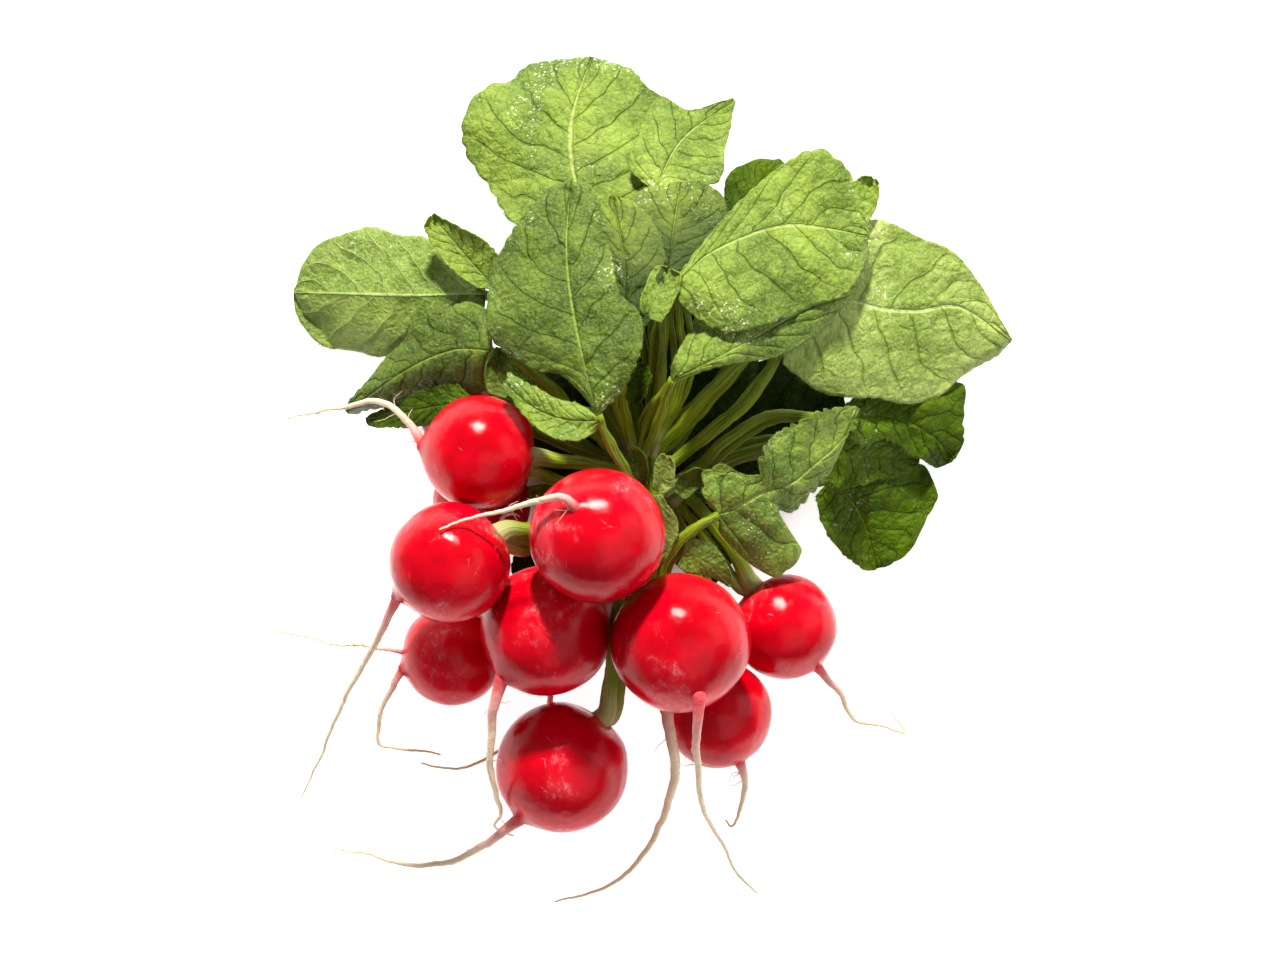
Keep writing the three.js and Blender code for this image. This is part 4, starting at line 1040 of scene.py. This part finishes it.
# How strongly each leaf is toothed and lobed at its margin, where it is not like most.
margins = dict(
    leaf_front_lobed=(1.5, 0.9),
    leaf_front_center=(0.8, 0.6),
    leaf_right_upper=(1, 0.6),
    leaf_right_under=(0.3, 0.4),
    leaf_left_large=(0.3, 2.4),
    leaf_left_low=(0.7, 1.8),
    leaf_top_large=(0.9, 1.8),
    leaf_right_large=(0.4, 1.8),
    leaf_heart_curled=(1.2, 1.5),
    leaf_right_dark=(0.9, 2.2),
    leaf_right_low=(1, 2.2),
    leaf_right_bottom=(0.9, 2.4),
    leaf_heart_curly=(2, 2),
)
usualMargin = (0.8, 1)
undersideUp = ("leaf_left_large", "leaf_behind_top_radish")
# Halves of blades that hang (below 0) or stand up (above 0) more than the other, first the left one.
tilts = dict(
    leaf_left_large_blade=(-5, 0),
    leaf_left_low_blade=(-5, 1),
    leaf_front_center_lobe=(5.5, 0),
    leaf_right_upper_blade=(2, -0.5),
    leaf_right_large_blade=(1, -2.5),
    leaf_top_large_blade=(-2.5, 0.5),
    leaf_front_lobed_blade=(1.5, -3),
    leaf_right_bottom_blade=(-1, 1.5),
)
# Leaves that are more crumpled than the others.
crumpled = dict(leaf_right_dark=2.2, leaf_right_low=2.4, leaf_right_bottom=1.8, leaf_front_lobed=1.3)
# The heap that the blades lie on: a low round hill.
heap = dict(center=Vector((10, 28)), height=30, foot=6, spread=52)


def heapAt(spot):
    away = (spot.xy - heap["center"]).length
    return heap["foot"] + heap["height"] * math.exp(-((away / heap["spread"]) ** 2))


def relief(s, across, veins):
    width = abs(across)
    phase = (s - width * veinSweep) * veins + (0.5 if across > 0 else 0)
    offset = abs(phase - math.floor(phase) - 0.5)
    fade = 1 - smooth(0.7, 1, width)
    rib = bladeShape["sunkRib"] * math.exp(-((width / 0.05) ** 2))
    vein = bladeShape["sunkVein"] * smooth(0.4, 0.5, offset) * fade * smooth(0.02, 0.1, width)
    pillow = bladeShape["pillow"] * math.cos(math.pi * offset) * math.sin(math.pi * min(width, 1)) * fade
    return pillow - rib - vein


# The station that the veins see, bent so that no two of them run alike.
def bentStation(s, across, seed):
    bend = noise.noise((s * 4, across * 1.6, seed)) + 0.4 * noise.noise((s * 11, across * 5, seed))
    return s + bladeShape["veinBend"] * bend * smooth(0, 0.15, abs(across))


def bladePiece(leaf, shape, name):
    rib = readerOf(shape["rib"])
    start, end = rib(0), rib(1)
    along = (rib(0.05) - start).normalized()
    back = (end - rib(0.95)).normalized()
    sides = []
    for key in ("left", "right"):
        points = shape[key]
        middle = Vector(points[len(points) // 2][:2])
        lean = rib(0.4) - start
        sign = 1 if lean.x * (middle.y - start.y) - lean.y * (middle.x - start.x) > 0 else -1
        first = start + Vector((-along.y, along.x)) * bladeShape["stalkWidth"] * sign
        final = end + Vector((-back.y, back.x)) * bladeShape["tipWidth"] * sign
        sides.append(readerOf([tuple(first), *points, tuple(final)]))
    length = wayLength(shape["rib"], 2)
    deep = leaf["color"] == "deepLeaf"
    rows, columns = bladeGrids["coarse" if deep or length < bladeShape["smallLength"] else "fine"]
    size = min(1, length / bladeShape["fullLength"])
    seed = start.x * 0.37 + start.y * 0.11
    toothed, lobed = margins.get(leaf["name"], usualMargin)
    facing = -1 if leaf["name"] in undersideUp else 1
    rough = crumpled.get(leaf["name"], 1)
    swell = 1.6 if deep else size * rough

    def place(s, t):
        across = 2 * t - 1
        width = abs(across)
        spine = rib(s)
        margin = sides[0 if across < 0 else 1](s)
        outward = margin - spine
        reach = max(outward.length, 0.01)
        ends = smooth(0, 0.06, s) * (1 - smooth(0.95, 1, s))
        sign = 1 if across < 0 else -1
        beat = math.pi * length * s / bladeShape["toothPitch"]
        tooth = abs(math.sin(beat + 4 * noise.noise((s * 6, sign * 4, seed)))) - 0.5
        tooth *= 0.5 + noise.noise((s * 7, sign * 6, seed + 3))
        scallop = noise.noise((s * 5.5, sign * 3, seed + 7))
        edge = (bladeShape["teeth"] * toothed * tooth + bladeShape["lobes"] * lobed * scallop) * ends * size
        spot = spine + outward / reach * (reach * width + edge * width**3)
        flat = Vector((spot.x, spot.y, 0))
        beat = s * length * bladeShape["waveScale"] + sign * 1.3 + seed
        wave = bladeShape["waves"] * math.sin(beat) * width**2
        wrinkle = noise.noise(flat * bladeShape["crumpleScale"] + Vector((seed, 0, 0)))
        hollow = noise.noise(flat * bladeShape["swellScale"] + Vector((0, seed, 0)))
        crumple = bladeShape["crumple"] * rough * wrinkle + bladeShape["swell"] * swell * hollow
        tilt = tilts.get(name, (0, 0))[0 if across < 0 else 1] * smooth(0, 0.25, s)
        lift = (leaf["cup"] + tilt) * width**2 + (wave + crumple) * ends - leaf["droop"] * s**2
        height = heapAt(flat) + leaf["layer"] + lift
        height += relief(bentStation(s, across, seed), across, sideVeins) * size * facing
        return Vector((spot.x, spot.y, max(height, bladeShape["lowest"])))

    piece = gridPiece(name, rows, columns, place)
    rims = rimsOf(piece, rows)
    for corner in piece.data.uv_layers.active.data:
        s, t = corner.uv
        corner.uv.x = bentStation(s, 2 * t - 1, seed)
    if sum(face.normal.z for face in piece.data.polygons) < 0:
        bpy.ops.object.mode_set(mode="EDIT")
        bpy.ops.mesh.select_all(action="SELECT")
        bpy.ops.mesh.flip_normals()
        bpy.ops.object.mode_set(mode="OBJECT")
    shell = piece.modifiers.new("thickness", "SOLIDIFY")
    shell.thickness = bladeShape["thickness"] * mm
    shell.offset = -1
    shell.material_offset = 1
    bpy.ops.object.modifier_apply(modifier=shell.name)
    return piece, rims


# Both margins of a flat blade, each as its line of corners and the next line inside it.
def rimsOf(piece, rows):
    spots = [vertex.co / mm for vertex in piece.data.vertices]
    line = rows + 1
    return [(spots[:line], spots[line : 2 * line]), (spots[-line:], spots[-2 * line : -line])]


# Fine hairs that stand off a margin: a thin band whose outer edge runs to points.
hairs = dict(reach=0.8, spacing=0.5, width=0.17, thickness=0.1, sunk=0.15, lowest=0.15)


def hairsPiece(rim, name, dice):
    spots, inside = rim
    lengths = [max((b - a).length, 1e-6) for a, b in zip(spots, spots[1:])]
    count = int(sum(lengths) / hairs["spacing"])
    feet = []
    walked, i = 0, 0
    for k in range(count):
        target = sum(lengths) * (k + 0.5) / count
        while i < len(lengths) - 1 and walked + lengths[i] < target:
            walked += lengths[i]
            i += 1
        foot = spots[i].lerp(spots[i + 1], min((target - walked) / lengths[i], 1))
        along = (spots[i + 1] - spots[i]).normalized()
        out = (spots[i] - inside[i]).normalized()
        lean = out + along * dice.uniform(-0.6, 0.6) + Vector((0, 0, dice.uniform(-0.3, 0.6)))
        feet.append((foot, along * hairs["width"] / 2, out, lean * dice.uniform(0.25, 1) * hairs["reach"]))

    def place(s, t):
        i = int(round(s * (3 * count - 1)))
        foot, step, out, tip = feet[i // 3]
        foot = foot + step * (i % 3 - 1) - Vector((0, 0, bladeShape["thickness"] / 2))
        if t < 0.1 or t > 0.9:
            spot = foot - out * hairs["sunk"]
        elif i % 3 == 1:
            spot = foot + tip
        else:
            spot = foot + Vector((0, 0, hairs["thickness"] * (0.5 if t < 0.5 else -0.5)))
        return Vector((spot.x, spot.y, max(spot.z, hairs["lowest"])))

    piece = gridPiece(name, 3 * count - 1, 3, place, closed=True)
    for corner in piece.data.uv_layers.active.data:
        corner.uv.y = 0
    return piece


def toneOf(leaf):
    if leaf["name"] in undersideUp:
        return "underside"
    return "brightLeaf" if leaf["name"] in sunlit else otherTones.get(leaf["name"], leaf["color"])


def buildLeaves():
    materials = {tone: leafMaterial(tone) for tone in leafTones}
    dice = random.Random(5)
    for leaf in leaves:
        parts = []
        for key in ("blade", "lobe"):
            shape = leaf if key == "blade" else leaf.get("lobe")
            if not shape:
                continue
            part, rims = bladePiece(leaf, shape, leaf["name"] + "_" + key)
            # The lobe takes the lit copy of the leaf tone, painted light.
            part.data.materials.append(materials["brightLeaf" if key == "lobe" else toneOf(leaf)])
            part.data.materials.append(materials["underside"])
            parts.append(part)
            if leaf["color"] != "deepLeaf":
                for rim in rims:
                    fringe = hairsPiece(rim, leaf["name"] + "_hairs", dice)
                    fringe.data.materials.append(materials["underside"])
                    parts.append(fringe)
        piece = joined(leaf["name"] + "_blade", parts)
        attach(piece, "root")
        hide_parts(leaf["name"])
    print("leaves done:", len(leaves))


def buildRadishes():
    skin = skinMaterial()
    root = rootMaterial()
    dice = random.Random(7)
    for radish in radishes:
        name = radish["name"]
        finish(bulbPiece(radish), skin, name)
        parts = [rootPiece(radish, radish["root"], radish["rootRadius"], name + "_root", dice)]
        if "sideRoot" in radish:
            sideRadius = radish["rootRadius"] * rootShape["sideShare"]
            parts.append(rootPiece(radish, radish["sideRoot"], sideRadius, name + "_side", dice))
        finish(joined(name + "_root", parts), root, name)
    print("radishes done:", len(radishes))


# Every stalk of the frame, grooved, and thinner ones beside them, close together in the crossing.
stalkShape = dict(
    sides=14,
    perMillimetre=0.8,
    wobble=0.5,
    bladeStalks=19,
    companions=3,
    spread=3.0,
    crownReach=2.5,
    crownDepth=3.5,
    crownSwell=0.5,
    startSwell=0.2,
    endSwell=0.12,
    slim=0.88,
    thin=(0.5, 0.75),
)


def ledIn(way):
    start = Vector(way[0])
    for radish in radishes:
        toward = Vector(radish["center"]) - start
        if toward.length < radish["radius"] + stalkShape["crownReach"]:
            return [list(start + toward.normalized() * stalkShape["crownDepth"])] + way
    return way


def buildStalks():
    material = stalkMaterial()
    dice = random.Random(21)
    parts = []
    for index, stalk in enumerate(stalks):
        wide, narrow = stalk["radii"]
        copies = 1 + (stalkShape["companions"] if index < stalkShape["bladeStalks"] else 1)
        base = ledIn(stalk["way"])
        crowned = len(base) > len(stalk["way"])
        for copy in range(copies):
            shift = Vector((dice.uniform(-1, 1), dice.uniform(-1, 1), dice.uniform(-1.4, 0.2)))
            shift *= stalkShape["spread"]
            last = len(base) - 1
            way = []
            for i, point in enumerate(base):
                ease = math.sin(math.pi * i / last) if copy else 0
                way.append(tuple(Vector(point) + shift * ease))
            thin = stalkShape["slim"] if copy == 0 else dice.uniform(*stalkShape["thin"])
            crown = stalkShape["crownSwell" if crowned else "startSwell"]

            def radiusAt(s, wide=wide, narrow=narrow, thin=thin, crown=crown):
                swell = crown * math.exp(-s / 0.1) + stalkShape["endSwell"] * math.exp(-(1 - s) / 0.05)
                return thin * (wide + (narrow - wide) * s) * (1 + swell)

            steps = int(wayLength(way) * stalkShape["perMillimetre"])
            sides, wobble, seed = stalkShape["sides"], stalkShape["wobble"], index + copy * 40
            parts.append(tubePiece("stalk", way, radiusAt, steps, sides, wobble, seed, ridges=1))
    finish(joined("leaf_stalks_grooved", parts), material, "leaf_stalks")
    print("stalks done:", len(parts))


def addFloor():
    bpy.ops.object.select_all(action="DESELECT")
    bpy.ops.mesh.primitive_plane_add(size=litFloor["side"])
    floor = bpy.context.object
    floor.name = "floor"
    floor.data.materials.append(floorMaterial())
    print("floor done")


addCamera()
addLights()
buildRadishes()
buildStalks()
buildLeaves()
addFloor()
